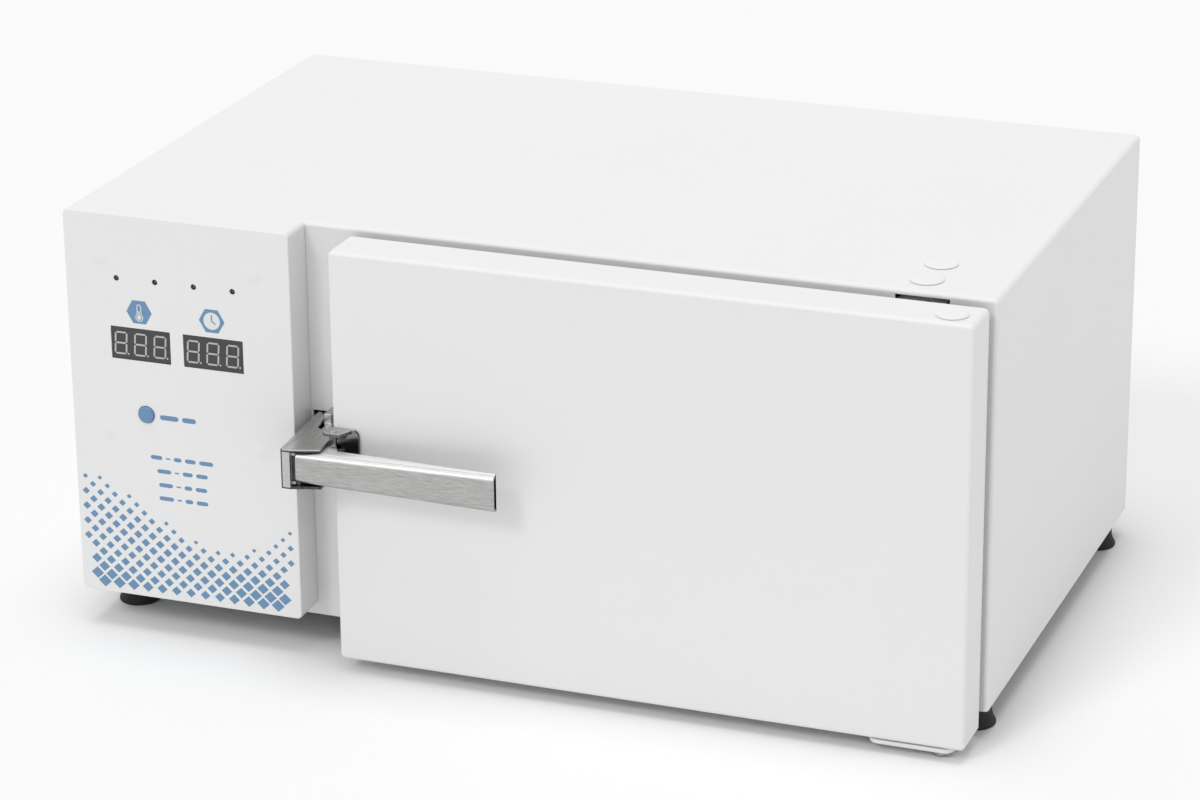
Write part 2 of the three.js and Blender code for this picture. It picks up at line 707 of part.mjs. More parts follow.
function controlBoardSolid() {
  const boardLength = boardAlong[1] - boardAlong[0];
  const boardHeight = boardRise[1] - boardRise[0];
  let solid = block([boardLeft, boardRight], boardAlong, boardRise);
  for (const piece of [processor, frontRelay, rearRelay, boardSupply, terminalStrip]) {
    solid = solid.add(block(
      [boardLeft - piece.rise, boardLeft + controlBoard.thickness / 2],
      around(boardAlong[0] + piece.alongShare * boardLength, piece.length),
      around(boardRise[0] + piece.upShare * boardHeight, piece.height),
    ));
  }
  return solid;
}

const relay = { length: 45, height: 58, depth: 24, fins: 6, finDepth: 18, finWidth: 2.4, rear: 60, low: 130 };

function heaterRelay() {
  const right = bulkheadLeft - gap;
  const along = [cabinet.depth - relay.rear, cabinet.depth - relay.rear + relay.length];
  let solid = block([right - relay.depth, right], along, [relay.low, relay.low + relay.height]);
  const pitch = (relay.length - relay.finWidth) / (relay.fins - 1);
  for (let fin = 0; fin < relay.fins; fin += 1) {
    const y = along[0] + fin * pitch;
    solid = solid.add(block(
      [right - relay.depth - relay.finDepth, right - relay.depth / 2],
      [y, y + relay.finWidth],
      [relay.low, relay.low + relay.height],
    ));
  }
  return solid;
}

const transformer = {
  length: 66, width: 44, height: 56, coilProud: 9, fromSide: 51.8, setback: 150, limb: 11, window: 11, yoke: 10, flange: 3, tab: 10,
};
const transformerX = -innerSide + transformer.fromSide;
const coreLow = baseTop + gap;
const windowRise = [coreLow + transformer.yoke, coreLow + transformer.height - transformer.yoke];

// Core with two windows, and the winding round its middle limb
function transformerCore() {
  const along = around(transformer.setback, transformer.length);
  const across = around(transformerX, transformer.width);
  let core = block(across, along, [coreLow, coreLow + transformer.height]);
  core = core.add(block(across, shrink(along, -transformer.tab), [coreLow, coreLow + transformer.flange]));
  for (const side of [-1, 1]) {
    const middle = transformer.setback + side * (transformer.limb + transformer.window / 2);
    core = core.subtract(block(shrink(across, -overrun), around(middle, transformer.window), windowRise));
  }
  return core;
}

function transformerCoil() {
  const rise = shrink(windowRise, gap);
  const inner = [around(transformerX, transformer.width + 2 * gap), around(transformer.setback, 2 * transformer.limb + 2 * gap)];
  const wrap = transformer.window - 2 * gap;
  const outer = block(
    shrink(inner[0], -transformer.coilProud), around(transformer.setback, 2 * (transformer.limb + gap + wrap)), rise,
  );
  return outer.subtract(block(inner[0], inner[1], shrink(rise, -overrun)));
}

// Power inlet with its fuse drawer, and the power switch, on the rear cover

const inletFace = cabinet.depth + gap + rear.inletFlange;

function powerInlet() {
  const flange = block(
    around(inletX, inlet.flangeWidth), [cabinet.depth + gap, inletFace], around(inlet.z, inlet.flangeHeight),
  );
  const body = block(
    around(inletX, inlet.bodyWidth),
    [inletFace - inlet.bodyDepth, cabinet.depth + gap + rear.inletFlange / 2],
    around(inlet.z, inlet.bodyHeight),
  );
  const cavityZ = inlet.z - inlet.cavityDrop;
  const cavityFloor = inletFace - inlet.cavityDepth;
  const cavity = block(
    around(inletX, inlet.cavityWidth), [cavityFloor, inletFace + overrun], around(cavityZ, inlet.cavityHeight),
  );
  const drawerRoom = block(
    around(inletX, inlet.drawerWidth + 2 * gap),
    [inletFace - inlet.drawerDepth - gap, inletFace + overrun],
    around(inlet.z + inlet.drawerRise, inlet.drawerHeight + 2 * gap),
  );
  let solid = flange.add(body).subtract(cavity).subtract(drawerRoom);
  for (const step of [-1, 0, 1]) {
    const z = cavityZ + (step === 0 ? inlet.bladeHeight / 2 : -inlet.bladeHeight / 2);
    solid = solid.add(block(
      around(inletX + step * inlet.bladePitch, inlet.bladeWidth),
      [cavityFloor - gap, cavityFloor + inlet.bladeLength],
      around(z, inlet.bladeHeight),
    ));
  }
  return solid;
}

function fuseDrawer() {
  return block(
    around(inletX, inlet.drawerWidth),
    [inletFace - inlet.drawerDepth, inletFace - inlet.drawerFace],
    around(inlet.z + inlet.drawerRise, inlet.drawerHeight),
  );
}

const rockerAxisY = cabinet.depth - powerSwitch.axisDepth;

function switchBody() {
  const bezel = block(
    around(switchX, powerSwitch.bezelWidth),
    [cabinet.depth + gap, cabinet.depth + gap + powerSwitch.bezelDepth],
    around(powerSwitch.z, powerSwitch.bezelHeight),
  );
  const body = block(
    around(switchX, powerSwitch.bodyWidth),
    [cabinet.depth - powerSwitch.bodyDepth, cabinet.depth + powerSwitch.bezelDepth / 2],
    around(powerSwitch.z, powerSwitch.bodyHeight),
  );
  const room = block(
    around(switchX, powerSwitch.rockerWidth + 2 * powerSwitch.sideRoom),
    [rockerAxisY - powerSwitch.heelDepth - powerSwitch.endRoom, cabinet.depth + overrun],
    around(powerSwitch.z, powerSwitch.rockerHeight + 2 * powerSwitch.endRoom),
  );
  return bezel.add(body).subtract(room);
}

function switchRocker() {
  const half = powerSwitch.rockerHeight / 2;
  const { z, endReach, notch, skirt, heel, heelDepth } = powerSwitch;
  const crown = cabinet.depth + endReach;
  const outline = [
    [crown, z - half], [crown - notch, z], [crown, z + half], [cabinet.depth - skirt, z + half],
    [rockerAxisY - heelDepth, z + heel], [rockerAxisY - heelDepth, z - heel], [cabinet.depth - skirt, z - half],
  ];
  return prism('x', outline, around(switchX, powerSwitch.rockerWidth));
}

// Upper hinge arm: a flat plate under the case top that hooks through the slot into the door

function upperHingeArm() {
  const corner = hinge.eyeRadius / 2;
  const legLeft = hingeX - hinge.legLeft;
  const legRight = hingeX - hinge.legRight;
  const low = hingeY - hinge.legLow;
  const high = hingeY + hinge.legLow;
  const plate = new THREE.Shape();
  plate.moveTo(legLeft, hinge.reach);
  plate.lineTo(legLeft, low + 2 * corner);
  plate.absarc(legLeft + 2 * corner, low + 2 * corner, 2 * corner, Math.PI, 1.5 * Math.PI);
  plate.lineTo(hingeX, low);
  plate.absarc(hingeX, hingeY, hinge.eyeRadius, -Math.PI / 2, Math.PI / 2);
  plate.lineTo(legRight + corner, high);
  plate.absarc(legRight + corner, high + corner, corner, 1.5 * Math.PI, Math.PI, true);
  plate.lineTo(legRight, hinge.prongRoot);
  plate.lineTo(legRight + hinge.prongGap, hinge.prongRoot);
  plate.lineTo(legRight + hinge.prongGap, hingeY + hinge.prongReach);
  plate.lineTo(hingeX - hinge.prongRight, hingeY + hinge.prongReach);
  plate.lineTo(hingeX - hinge.prongRight, hinge.reach);
  let solid = prism('z', plate, [armLowZ, armTopZ]);
  for (const centre of capCentres) {
    solid = solid.add(rod('z', centre, hinge.bossRadius, [armLowZ, innerTop - gap]));
    solid = solid.subtract(rod(
      'z', centre, cap.stemRadius + gap, [cabinet.height - cap.stemLength - gap, cabinet.height + overrun],
    ));
  }
  return solid.subtract(rod('z', [hingeX, hingeY], hinge.pinRadius + gap, [armLowZ - overrun, armTopZ + overrun]));
}

const doorInnerTop = doorTop - door.wall;
const bushHigh = doorInnerTop - gap;
const bushLow = bushHigh - hinge.bushHeight;

function upperPivotPin() {
  const centre = [hingeX, hingeY];
  const shank = rod('z', centre, hinge.pinRadius, [armLowZ - hinge.pinTail + gap, bushHigh - gap]);
  return shank.add(rod('z', centre, hinge.headRadius, [armLowZ - hinge.pinTail, armLowZ - gap]));
}

function upperPivotBush() {
  const ring = rod('z', [hingeX, hingeY], hinge.bushRadius, [bushLow, bushHigh]);
  return ring.subtract(rod('z', [hingeX, hingeY], hinge.pinRadius + gap, [bushLow - overrun, bushHigh + overrun]));
}

// Lower hinge plate, its pin with a nut, and the washer that the door turns on

function lowerHingePlate() {
  const left = hingeX - lowerHinge.left;
  const right = hingeX + lowerHinge.right;
  const front = hingeY - lowerHinge.front;
  const webBack = lowerHinge.webSetback + lowerHinge.web;
  const outline = new THREE.Shape();
  outline.moveTo(left, webBack);
  outline.lineTo(left, front + lowerHinge.corner);
  outline.absarc(left + lowerHinge.corner, front + lowerHinge.corner, lowerHinge.corner, Math.PI, 1.5 * Math.PI);
  outline.lineTo(right - lowerHinge.corner, front);
  outline.absarc(right - lowerHinge.corner, front + lowerHinge.corner, lowerHinge.corner, -Math.PI / 2, 0);
  outline.lineTo(right, webBack);
  const shelf = prism('z', outline, [lowerPlateLow, lowerPlateTop]);
  const web = block([left, right], [lowerHinge.webSetback, webBack], [lowerPlateLow, -gap]);
  const tail = block(
    [left, left + lowerHinge.tailWidth],
    [lowerHinge.webSetback, lowerHinge.tailDepth],
    [-gap - lowerHinge.thickness, -gap],
  );
  const bore = rod(
    'z', [hingeX, hingeY], hinge.pinRadius + gap, [lowerPlateLow - overrun, lowerPlateTop + overrun],
  );
  return joined(shelf, web, tail).subtract(bore);
}

function lowerPivotPin() {
  const centre = [hingeX, hingeY];
  const nutTop = lowerPlateLow - gap;
  const shank = rod('z', centre, hinge.pinRadius, [nutTop - gap, doorBottom + lowerHinge.pinRise]);
  return shank.add(rod('z', centre, lowerHinge.nutRadius, [nutTop - lowerHinge.nutHeight, nutTop], hexSides));
}

function thrustWasher() {
  const span = [lowerPlateTop + gap, lowerPlateTop + gap + lowerHinge.washer];
  const ring = rod('z', [hingeX, hingeY], lowerHinge.washerRadius, span);
  return ring.subtract(rod('z', [hingeX, hingeY], hinge.pinRadius + gap, [span[0] - overrun, span[1] + overrun]));
}

function lowerPivotBush() {
  const low = doorBottom + door.wall + gap;
  const span = [low, low + lowerHinge.bushHeight];
  const ring = rod('z', [hingeX, hingeY], lowerHinge.bushRadius, span);
  return ring.subtract(rod('z', [hingeX, hingeY], hinge.pinRadius + gap, [span[0] - overrun, span[1] + overrun]));
}

// Flat round caps over the hinge fixings

function caseCap([x, y]) {
  const low = cabinet.height + gap;
  const disc = rod('z', [x, y], cap.radius, [low, low + cap.height]);
  return disc.add(rod('z', [x, y], cap.stemRadius, [cabinet.height - cap.stemLength, low + gap], pinSides));
}

function doorCap() {
  const low = doorTop + gap;
  const disc = rod('z', [hingeX, hingeY], cap.doorRadius, [low, low + cap.height]);
  return disc.add(rod('z', [hingeX, hingeY], cap.stemRadius, [doorInnerTop, low + gap], pinSides));
}

// Door: outer shell, insulation, inner panel and gasket

const innerPanelFront = doorBack - door.wall;

function hingeSweepSlot(depthSpan) {
  return block(
    [hingeX - hinge.sweepLeft, hingeX + hinge.sweepRight],
    depthSpan,
    [armLowZ - hinge.sweepRoom, armTopZ + hinge.sweepRoom],
  );
}

function doorShell() {
  const across = [doorLeft, doorRight];
  const rise = [doorBottom, doorTop];
  let solid = prism('y', softRectangle(across, rise, door.fold), [doorFront, doorBack]);
  solid = solid.subtract(prism(
    'y',
    softRectangle(shrink(across, door.wall), shrink(rise, door.wall), door.fold - door.wall),
    [doorFront + door.wall, doorBack + overrun],
  ));
  const centre = [hingeX, hingeY];
  solid = solid.subtract(rod('z', centre, hinge.pinRadius + gap, [doorBottom - overrun, doorBottom + overrun]));
  return solid.subtract(rod('z', centre, cap.stemRadius + gap, [doorInnerTop - overrun, doorTop + overrun]));
}

function doorInnerPanel() {
  const inset = door.wall + gap;
  const across = shrink([doorLeft, doorRight], inset);
  const rise = shrink([doorBottom, doorTop], inset);
  let solid = prism('y', softRectangle(across, rise, door.fold - door.wall), [innerPanelFront, doorBack]);
  return solid.subtract(hingeSweepSlot([innerPanelFront - overrun, doorBack + overrun]));
}

const doorWool = { pocketRoom: 4, footRoom: 14, footWidth: 32 };

function doorWoolSolid() {
  const inset = door.wall + gap;
  const across = shrink([doorLeft, doorRight], inset + gap);
  const rise = shrink([doorBottom, doorTop], inset + gap);
  const along = [doorFront + inset, innerPanelFront - gap];
  let solid = block(across, along, rise);
  solid = solid.subtract(block(
    [hingeX - hinge.sweepLeft - doorWool.pocketRoom, doorRight + overrun],
    [along[0] - overrun, along[1] + overrun],
    [armLowZ - hinge.pinTail - doorWool.pocketRoom, doorTop + overrun],
  ));
  return solid.subtract(block(
    [doorRight - doorWool.footWidth, doorRight + overrun],
    [along[0] - overrun, along[1] + overrun],
    [doorBottom - overrun, doorBottom + doorWool.footRoom],
  ));
}

const gasket = { inset: 3, width: 8 };

function doorGasket() {
  const hole = [shrink([chamberLeft, chamberRight], -gasket.inset), shrink([chamberFloor, chamberCeiling], -gasket.inset)];
  const rim = hole.map((span) => shrink(span, -gasket.width));
  const depthSpan = [doorBack + gap, linerFront - gap];
  const ring = prism('y', softRectangle(rim[0], rim[1], gasket.width), depthSpan);
  return ring.subtract(prism(
    'y', softRectangle(hole[0], hole[1], gasket.inset), [depthSpan[0] - overrun, depthSpan[1] + overrun],
  ));
}

// Latch: a bent base on the door, a channel lever, a hook link and a keeper on the case front

const latchBase = {
  right: 17, plateLeft: 1, above: 18.5, below: 13, corner: 4, sheet: 2,
  flangeLeft: 2, flangeDepth: 10.7, flangeTaper: 4, flangeBevel: 2,
  lugRadius: 4.5, neckShare: 0.7, lugRoom: 0.8, post: 4, postLeft: 2.5, postDepth: 9, postAbove: 10.7,
  rivetRadius: 2.4, rivetHeight: 0.8, rivetLeft: 3.5, rivetDepth: 6.5,
};

function latchBaseSolid() {
  const face = doorFront - gap;
  const plateFront = face - latchBase.sheet;
  const right = doorLeft + latchBase.right;
  const rise = [latch.height - latchBase.below, latch.height + latchBase.above];
  const neck = latchBase.lugRadius * latchBase.neckShare;
  const outline = softRectangle([doorLeft + latchBase.plateLeft, right], rise, latchBase.corner);
  const plate = prism('y', outline, [plateFront, face]);
  const flangeLeft = doorLeft - latchBase.flangeLeft;
  const flangeRight = right - latchBase.corner;
  const flangeFront = face - latchBase.flangeDepth;
  const flange = prism('z', [
    [flangeLeft, face],
    [flangeLeft, flangeFront + latchBase.flangeBevel],
    [flangeLeft + latchBase.flangeBevel, flangeFront],
    [flangeRight - latchBase.flangeTaper, flangeFront],
    [flangeRight, plateFront],
    [flangeRight, face],
  ], [rise[1] - latchBase.sheet, rise[1]]);
  const rivet = rod(
    'z',
    [doorLeft + latchBase.rivetLeft, face - latchBase.rivetDepth],
    latchBase.rivetRadius,
    [rise[1] - latchBase.sheet / 2, rise[1] + latchBase.rivetHeight],
    pinSides,
  );
  const lugSpan = [
    latch.height - latch.leftHalf + latch.sheet + latchBase.lugRoom,
    latch.height + latch.leftHalf - latch.sheet - latchBase.lugRoom,
  ];
  const lugNeck = prism('z', [
    [doorLeft + latchBase.plateLeft, face - gap],
    [pivotX - neck, pivotY + neck],
    [pivotX + neck, pivotY - neck],
    [doorLeft + latchBase.plateLeft + 2 * latchBase.lugRadius, face - gap],
  ], lugSpan);
  const lug = lugNeck.add(rod('z', [pivotX, pivotY], latchBase.lugRadius, lugSpan));
  const post = block(
    [doorLeft + latchBase.postLeft, doorLeft + latchBase.postLeft + latchBase.post],
    [face - latchBase.postDepth - latchBase.sheet / 2, face - latchBase.postDepth + latchBase.sheet / 2],
    [latch.height + latchBase.postAbove, rise[1] - latchBase.sheet / 2],
  );
  const bore = rod(
    'z', [pivotX, pivotY], latch.pinRadius + gap, [lugSpan[0] - overrun, lugSpan[1] + overrun], pinSides,
  );
  return joined(plate, flange, rivet, lug.subtract(bore), post);
}

// Lever channel: tapered web with two flanges, shallow at the free end, deeper round the pivots
// and rounded round the link pin, where the web stops short of the hook
function latchLever() {
  const left = linkPinX + latch.webSetback;
  const mid = latch.height;
  const taper = (x) => latch.leftHalf + (latch.rightHalf - latch.leftHalf) * (x - left) / (leverEnd - left);
  const tail = linkPinX - latch.lugRadius;
  const channel = (inset, [from, to]) => [
    [from, mid - taper(from) + inset], [to, mid - taper(to) + inset],
    [to, mid + taper(to) - inset], [from, mid + taper(from) - inset],
  ];
  const back = leverFront + latch.leverDepth;
  const lugBack = leverFront + latch.lugDepth;
  const outer = prism('y', channel(0, [tail, leverEnd]), [leverFront, lugBack]);
  const inner = prism(
    'y', channel(latch.sheet, [tail - overrun, leverEnd + overrun]), [leverFront + latch.sheet, lugBack + overrun],
  );
  const openEnd = prism('y', channel(latch.sheet, [tail - overrun, left]), [leverFront - overrun, lugBack + overrun]);
  const plan = new THREE.Shape();
  plan.moveTo(leverEnd, leverFront);
  plan.lineTo(leverEnd, leverFront + latch.endDepth);
  plan.lineTo(pivotX + latch.lugFoot, back);
  plan.lineTo(pivotX + latch.lugRight, lugBack);
  plan.lineTo(linkPinX, lugBack);
  plan.absarc(linkPinX, linkPinY, latch.lugRadius, 0.9 * Math.PI, 1.35 * Math.PI);
  plan.lineTo(left, leverFront);
  const tall = around(mid, 4 * latch.rightHalf);
  let solid = outer.subtract(inner).subtract(openEnd).intersect(prism('z', plan, tall));
  for (const centre of [[pivotX, pivotY], [linkPinX, linkPinY]]) {
    solid = solid.subtract(rod('z', centre, latch.pinRadius + gap, tall, pinSides));
  }
  return solid;
}

const link = {
  browRight: 1.4, browDepth: 5.5, elbowLeft: 0.9, elbowDepth: 3.6, fingerRight: 14.8, shoulderProud: 0.8,
  tipRoom: 0.8, tipTaper: 3.1, tipLength: 6.4, tipLeft: 5, tipRight: 6.4,
};

// Hook link: two ears joined by a narrow web round the lever's left end, each with a pointed finger;
// the link pin sits in blind bores, so the outer faces of the ears are plain
function latchLink() {
  const webLeft = linkPinX - latch.linkSide + gap;
  const webRight = webLeft + latch.linkWebWidth;
  const fingerRight = panelRight + link.fingerRight;
  const tip = -link.tipRoom;
  const plan = [
    [webLeft, linkFront], [webRight, linkFront],
    [doorLeft + link.browRight, linkFront + link.browDepth],
    [doorLeft - link.elbowLeft, doorFront + link.elbowDepth],
    [fingerRight, panelFront - link.shoulderProud],
    [fingerRight - link.tipTaper, tip - link.tipLength],
    [panelRight + link.tipRight, tip],
    [panelRight + link.tipLeft, tip],
  ];
  const upper = prism('z', plan, [earLow, earHigh]);
  const lower = prism('z', plan, [lowEarLow, lowEarHigh]);
  const web = block([webLeft, webRight], [linkFront, linkFront + latch.linkSheet], [lowEarLow, earHigh]);
  const boreSpan = shrink([lowEarLow, earHigh], latch.linkSkin);
  const bore = rod('z', [linkPinX, linkPinY], latch.pinRadius + gap, boreSpan, pinSides);
  return joined(upper, lower, web).subtract(bore);
}

function leverPin() {
  const reach = latch.leftHalf + latch.linkClear / 2;
  return rod('z', [pivotX, pivotY], latch.pinRadius, around(latch.height, 2 * reach), pinSides);
}

function linkPin() {
  const span = shrink([lowEarLow, earHigh], latch.linkSkin + gap);
  return rod('z', [linkPinX, linkPinY], latch.pinRadius, span, pinSides);
}

const keeper = {
  left: 15.2, right: 28, sheet: 1.5, depth: 27, room: 0.5,
  shoulderLeft: 13.3, shoulderRight: 18.3, shoulderDepth: 12.6, shoulderRise: 4,
};

// Keeper: a pressed steel cover on the case front that the two ears reach round, open at the back,
// with a shoulder that stands up beside the finger of the upper ear
function latchKeeper() {
  const { sheet } = keeper;
  const across = [panelRight + keeper.left, panelRight + keeper.right];
  const rise = [lowEarHigh + keeper.room, earLow - keeper.room];
  const cover = block(across, [-keeper.depth, -gap], rise);
  const coverHollow = block(shrink(across, sheet), [sheet - keeper.depth, overrun], shrink(rise, sheet));
  const beside = [panelRight + keeper.shoulderLeft, panelRight + keeper.shoulderRight];
  const top = earHigh + keeper.shoulderRise;
  const shoulder = block(beside, [-keeper.shoulderDepth, -gap], [rise[1] - sheet, top]);
  const shoulderHollow = block(
    shrink(beside, sheet), [sheet - keeper.shoulderDepth, overrun], [rise[1], top - sheet],
  );
  return joined(cover, shoulder).subtract(coverHollow).subtract(shoulderHollow);
}

// The assembly, piece by piece

place('casing', casing(), 'whitePaint');
place('rear_cover', rearCover(), 'whitePaint');
place('base_pan', basePan(), 'zincSteel');
rearScrewCentres.forEach((centre, i) => place(`rear_screw_${i + 1}`, rearScrewSolid(centre), 'zincSteel'));
footCentres.forEach((centre, i) => place(`foot_${i + 1}`, footSolid(centre), 'blackRubber'));
place('control_panel', controlPanel(), 'whitePaint');
place('display_board', displayBoardSolid(), 'greenBoard');
place('temperature_display', displaySolid(displayCentres[0]), 'darkDisplay');
place('time_display', displaySolid(displayCentres[1]), 'darkDisplay');
lightCentres.forEach((x, i) => place(`indicator_light_${i + 1}`, lightSolid(x), 'clearPlastic'));
place('program_button', programButton(), 'bluePlastic');
place('tact_switch', tactSwitch(), 'blackPlastic');
place('chamber_liner', chamberLiner(), 'linerSteel');
place('chamber_insulation', chamberWool(), 'stoneWool');
place('lower_heater', heaterSolid(lowerHeaterZ), 'zincSteel');
place('upper_heater', heaterSolid(upperHeaterZ), 'zincSteel');
place('temperature_probe', temperatureProbe(), 'brushedSteel');
place('overheat_switch', overheatSwitch(), 'blackPlastic');
place('left_rail', railSolid(-1), 'linerSteel');
place('right_rail', railSolid(1), 'linerSteel');
place('lower_tray', traySolid(0), 'linerSteel');
place('upper_tray', traySolid(1), 'linerSteel');
place('bulkhead', bulkheadSolid(), 'zincSteel');
place('control_board', controlBoardSolid(), 'greenBoard');
place('heater_relay', heaterRelay(), 'blackPlastic');
place('transformer_core', transformerCore(), 'zincSteel');
place('transformer_coil', transformerCoil(), 'copperWinding');
place('power_inlet', powerInlet(), 'blackPlastic');
place('fuse_drawer', fuseDrawer(), 'blackPlastic');
place('power_switch_body', switchBody(), 'blackPlastic');
place('power_switch_rocker', switchRocker(), 'blackPlastic');
place('upper_hinge_arm', upperHingeArm(), 'whitePaint');
place('upper_pivot_pin', upperPivotPin(), 'zincSteel');
place('upper_pivot_bush', upperPivotBush(), 'zincSteel');
place('lower_hinge_plate', lowerHingePlate(), 'whitePaint');
place('lower_pivot_pin', lowerPivotPin(), 'zincSteel');
place('thrust_washer', thrustWasher(), 'zincSteel');
place('lower_pivot_bush', lowerPivotBush(), 'zincSteel');
capCentres.forEach((centre, i) => place(`case_cap_${i + 1}`, caseCap(centre), 'whitePlastic'));
place('door_cap', doorCap(), 'whitePlastic');
place('door_shell', doorShell(), 'whitePaint');
place('door_insulation', doorWoolSolid(), 'stoneWool');
place('door_inner_panel', doorInnerPanel(), 'linerSteel');
place('door_gasket', doorGasket(), 'grayRubber');
place('latch_base', latchBaseSolid(), 'brushedSteel');
place('latch_lever', latchLever(), 'brushedSteel');
place('latch_link', latchLink(), 'brushedSteel');
place('lever_pin', leverPin(), 'brushedSteel');
place('link_pin', linkPin(), 'brushedSteel');
place('latch_keeper', latchKeeper(), 'brushedSteel');

const group = new THREE.Group();
group.add(assembly);

export default group;
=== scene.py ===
# Looks for a bench dry heat sterilizer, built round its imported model
# Lengths are millimetres from the case: y = 0 is its front and z = 0 its underside

import json
from math import cos, pi, radians, sin, tan

import bmesh
import bpy
import numpy as np
from mathutils import Matrix, Vector

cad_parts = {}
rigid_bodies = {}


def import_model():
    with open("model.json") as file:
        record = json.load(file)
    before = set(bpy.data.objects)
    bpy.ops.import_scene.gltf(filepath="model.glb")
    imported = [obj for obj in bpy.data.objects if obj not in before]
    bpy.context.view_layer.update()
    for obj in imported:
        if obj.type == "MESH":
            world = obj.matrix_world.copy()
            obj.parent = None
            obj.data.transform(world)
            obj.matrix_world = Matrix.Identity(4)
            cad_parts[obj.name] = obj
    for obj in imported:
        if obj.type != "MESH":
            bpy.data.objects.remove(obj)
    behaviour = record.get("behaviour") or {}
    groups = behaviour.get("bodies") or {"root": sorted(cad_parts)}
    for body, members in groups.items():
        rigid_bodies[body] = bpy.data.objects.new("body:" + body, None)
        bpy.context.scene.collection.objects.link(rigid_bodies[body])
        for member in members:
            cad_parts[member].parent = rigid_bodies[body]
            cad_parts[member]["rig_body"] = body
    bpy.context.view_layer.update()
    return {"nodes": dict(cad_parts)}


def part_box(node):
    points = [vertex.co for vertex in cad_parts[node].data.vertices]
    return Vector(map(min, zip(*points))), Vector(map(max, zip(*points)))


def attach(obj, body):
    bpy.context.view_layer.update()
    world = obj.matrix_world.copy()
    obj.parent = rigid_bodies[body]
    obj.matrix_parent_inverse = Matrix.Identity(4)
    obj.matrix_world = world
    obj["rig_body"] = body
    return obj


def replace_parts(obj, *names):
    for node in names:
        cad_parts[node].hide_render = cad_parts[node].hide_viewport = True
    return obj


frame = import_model()
nodes = frame["nodes"]
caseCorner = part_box("casing")[0]
caseOrigin = np.array([0.0, caseCorner.y, caseCorner.z])
print("frame loaded,", len(nodes), "nodes")


def toFrame(points):
    return caseOrigin + np.asarray(points, float) / 1000


def boxOf(node):
    low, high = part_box(node)
    return (np.array(low) - caseOrigin) * 1000, (np.array(high) - caseOrigin) * 1000


# Camera at the photograph's angle

view = {"place": (0.8093, -2.1334, 0.9836), "azimuth": 20.86, "elevation": 20.68, "roll": -0.51, "lens": 122.43}


def makeCamera():
    turn, lift, roll = (radians(view[key]) for key in ("azimuth", "elevation", "roll"))
    back = Vector((sin(turn) * cos(lift), -cos(turn) * cos(lift), sin(lift)))
    right = Vector((cos(turn), sin(turn), 0))
    up = back.cross(right)
    across = cos(roll) * right + sin(roll) * up
    above = cos(roll) * up - sin(roll) * right
    data = bpy.data.cameras.new("camera")
    data.lens, data.sensor_width = view["lens"], 36
    data.clip_start, data.clip_end = 0.05, 60
    camera = bpy.data.objects.new("camera", data)
    bpy.context.scene.collection.objects.link(camera)
    camera.matrix_world = Matrix.Translation(view["place"]) @ Matrix((across, above, back)).transposed().to_4x4()
    bpy.context.scene.camera = camera


makeCamera()
print("camera placed")


# Shader maths: a node's output that can be added, multiplied and so on

class Value:
    def __init__(self, tree, output):
        self.tree, self.output = tree, output

    def work(self, operation, first, second):
        made = self.tree.nodes.new("ShaderNodeMath")
        made.operation = operation
        for port, value in zip(made.inputs, (first, second)):
            if isinstance(value, Value):
                self.tree.links.new(value.output, port)
            else:
                port.default_value = value
        return Value(self.tree, made.outputs[0])

    def __add__(self, other):
        return self.work("ADD", self, other)

    def __mul__(self, other):
        return self.work("MULTIPLY", self, other)

    def most(self, other):
        return self.work("MAXIMUM", self, other)

    __radd__ = __add__
    __rmul__ = __mul__


# A colour with its alpha, or the value that stands for one
def withAlpha(colour):
    return colour if isinstance(colour, Value) else (*colour, 1)


# One material under construction

class Finish:
    def __init__(self, name):
        self.material = bpy.data.materials.new(name)
        self.material.use_nodes = True
        self.tree = self.material.node_tree
        self.tree.nodes.clear()
        self.place = self.node("ShaderNodeTexCoord", output="Object")

    # Any node: its settings first, then values or links for its sockets
    def node(self, kind, settings=None, values=None, output=0):
        made = self.tree.nodes.new(kind)
        for key, setting in (settings or {}).items():
            if key == "stops":
                ramp = made.color_ramp
                for index, (position, colour) in enumerate(setting):
                    stop = ramp.elements[index] if index < 2 else ramp.elements.new(position)
                    stop.position, stop.color = position, (*colour, 1)
            else:
                setattr(made, key, setting)
        for key, value in (values or {}).items():
            if isinstance(value, Value):
                self.tree.links.new(value.output, made.inputs[key])
            else:
                made.inputs[key].default_value = value
        return Value(self.tree, made.outputs[output]) if len(made.outputs) else None

    def stretched(self, factors):
        return self.node("ShaderNodeVectorMath", {"operation": "MULTIPLY"}, {0: self.place, 1: factors})

    def noise(self, scale, detail=2.0, roughness=0.5):
        grain = scale if isinstance(scale, tuple) else (scale, scale, scale)
        values = {"Vector": self.stretched(grain), "Scale": 1.0, "Detail": detail, "Roughness": roughness}
        return self.node("ShaderNodeTexNoise", None, values)

    def spread(self, value, low, high, first=0.0, last=1.0):
        return self.node("ShaderNodeMapRange", None, {0: value, 1: low, 2: high, 3: first, 4: last})

    def mix(self, factor, first, second):
        values = {0: factor, 6: withAlpha(first), 7: withAlpha(second)}
        return self.node("ShaderNodeMix", {"data_type": "RGBA"}, values, output=2)

    def bump(self, height, strength, distance, under=None):
        values = {"Height": height, "Strength": strength, "Distance": distance}
        if under is not None:
            values["Normal"] = under
        return self.node("ShaderNodeBump", None, values)

    # The shader and the output, which close the material
    def end(self, colour, **values):
        names = {
            "roughness": "Roughness", "metallic": "Metallic", "normal": "Normal", "coat": "Coat Weight",
            "sheen": "Sheen Weight",
        }
        sockets = {"Base Color": withAlpha(colour)}
        sockets.update({names[key]: value for key, value in values.items()})
        shader = self.node("ShaderNodeBsdfPrincipled", None, sockets, output="BSDF")
        self.node("ShaderNodeOutputMaterial", None, {"Surface": shader})
        return self.material


# Finishes

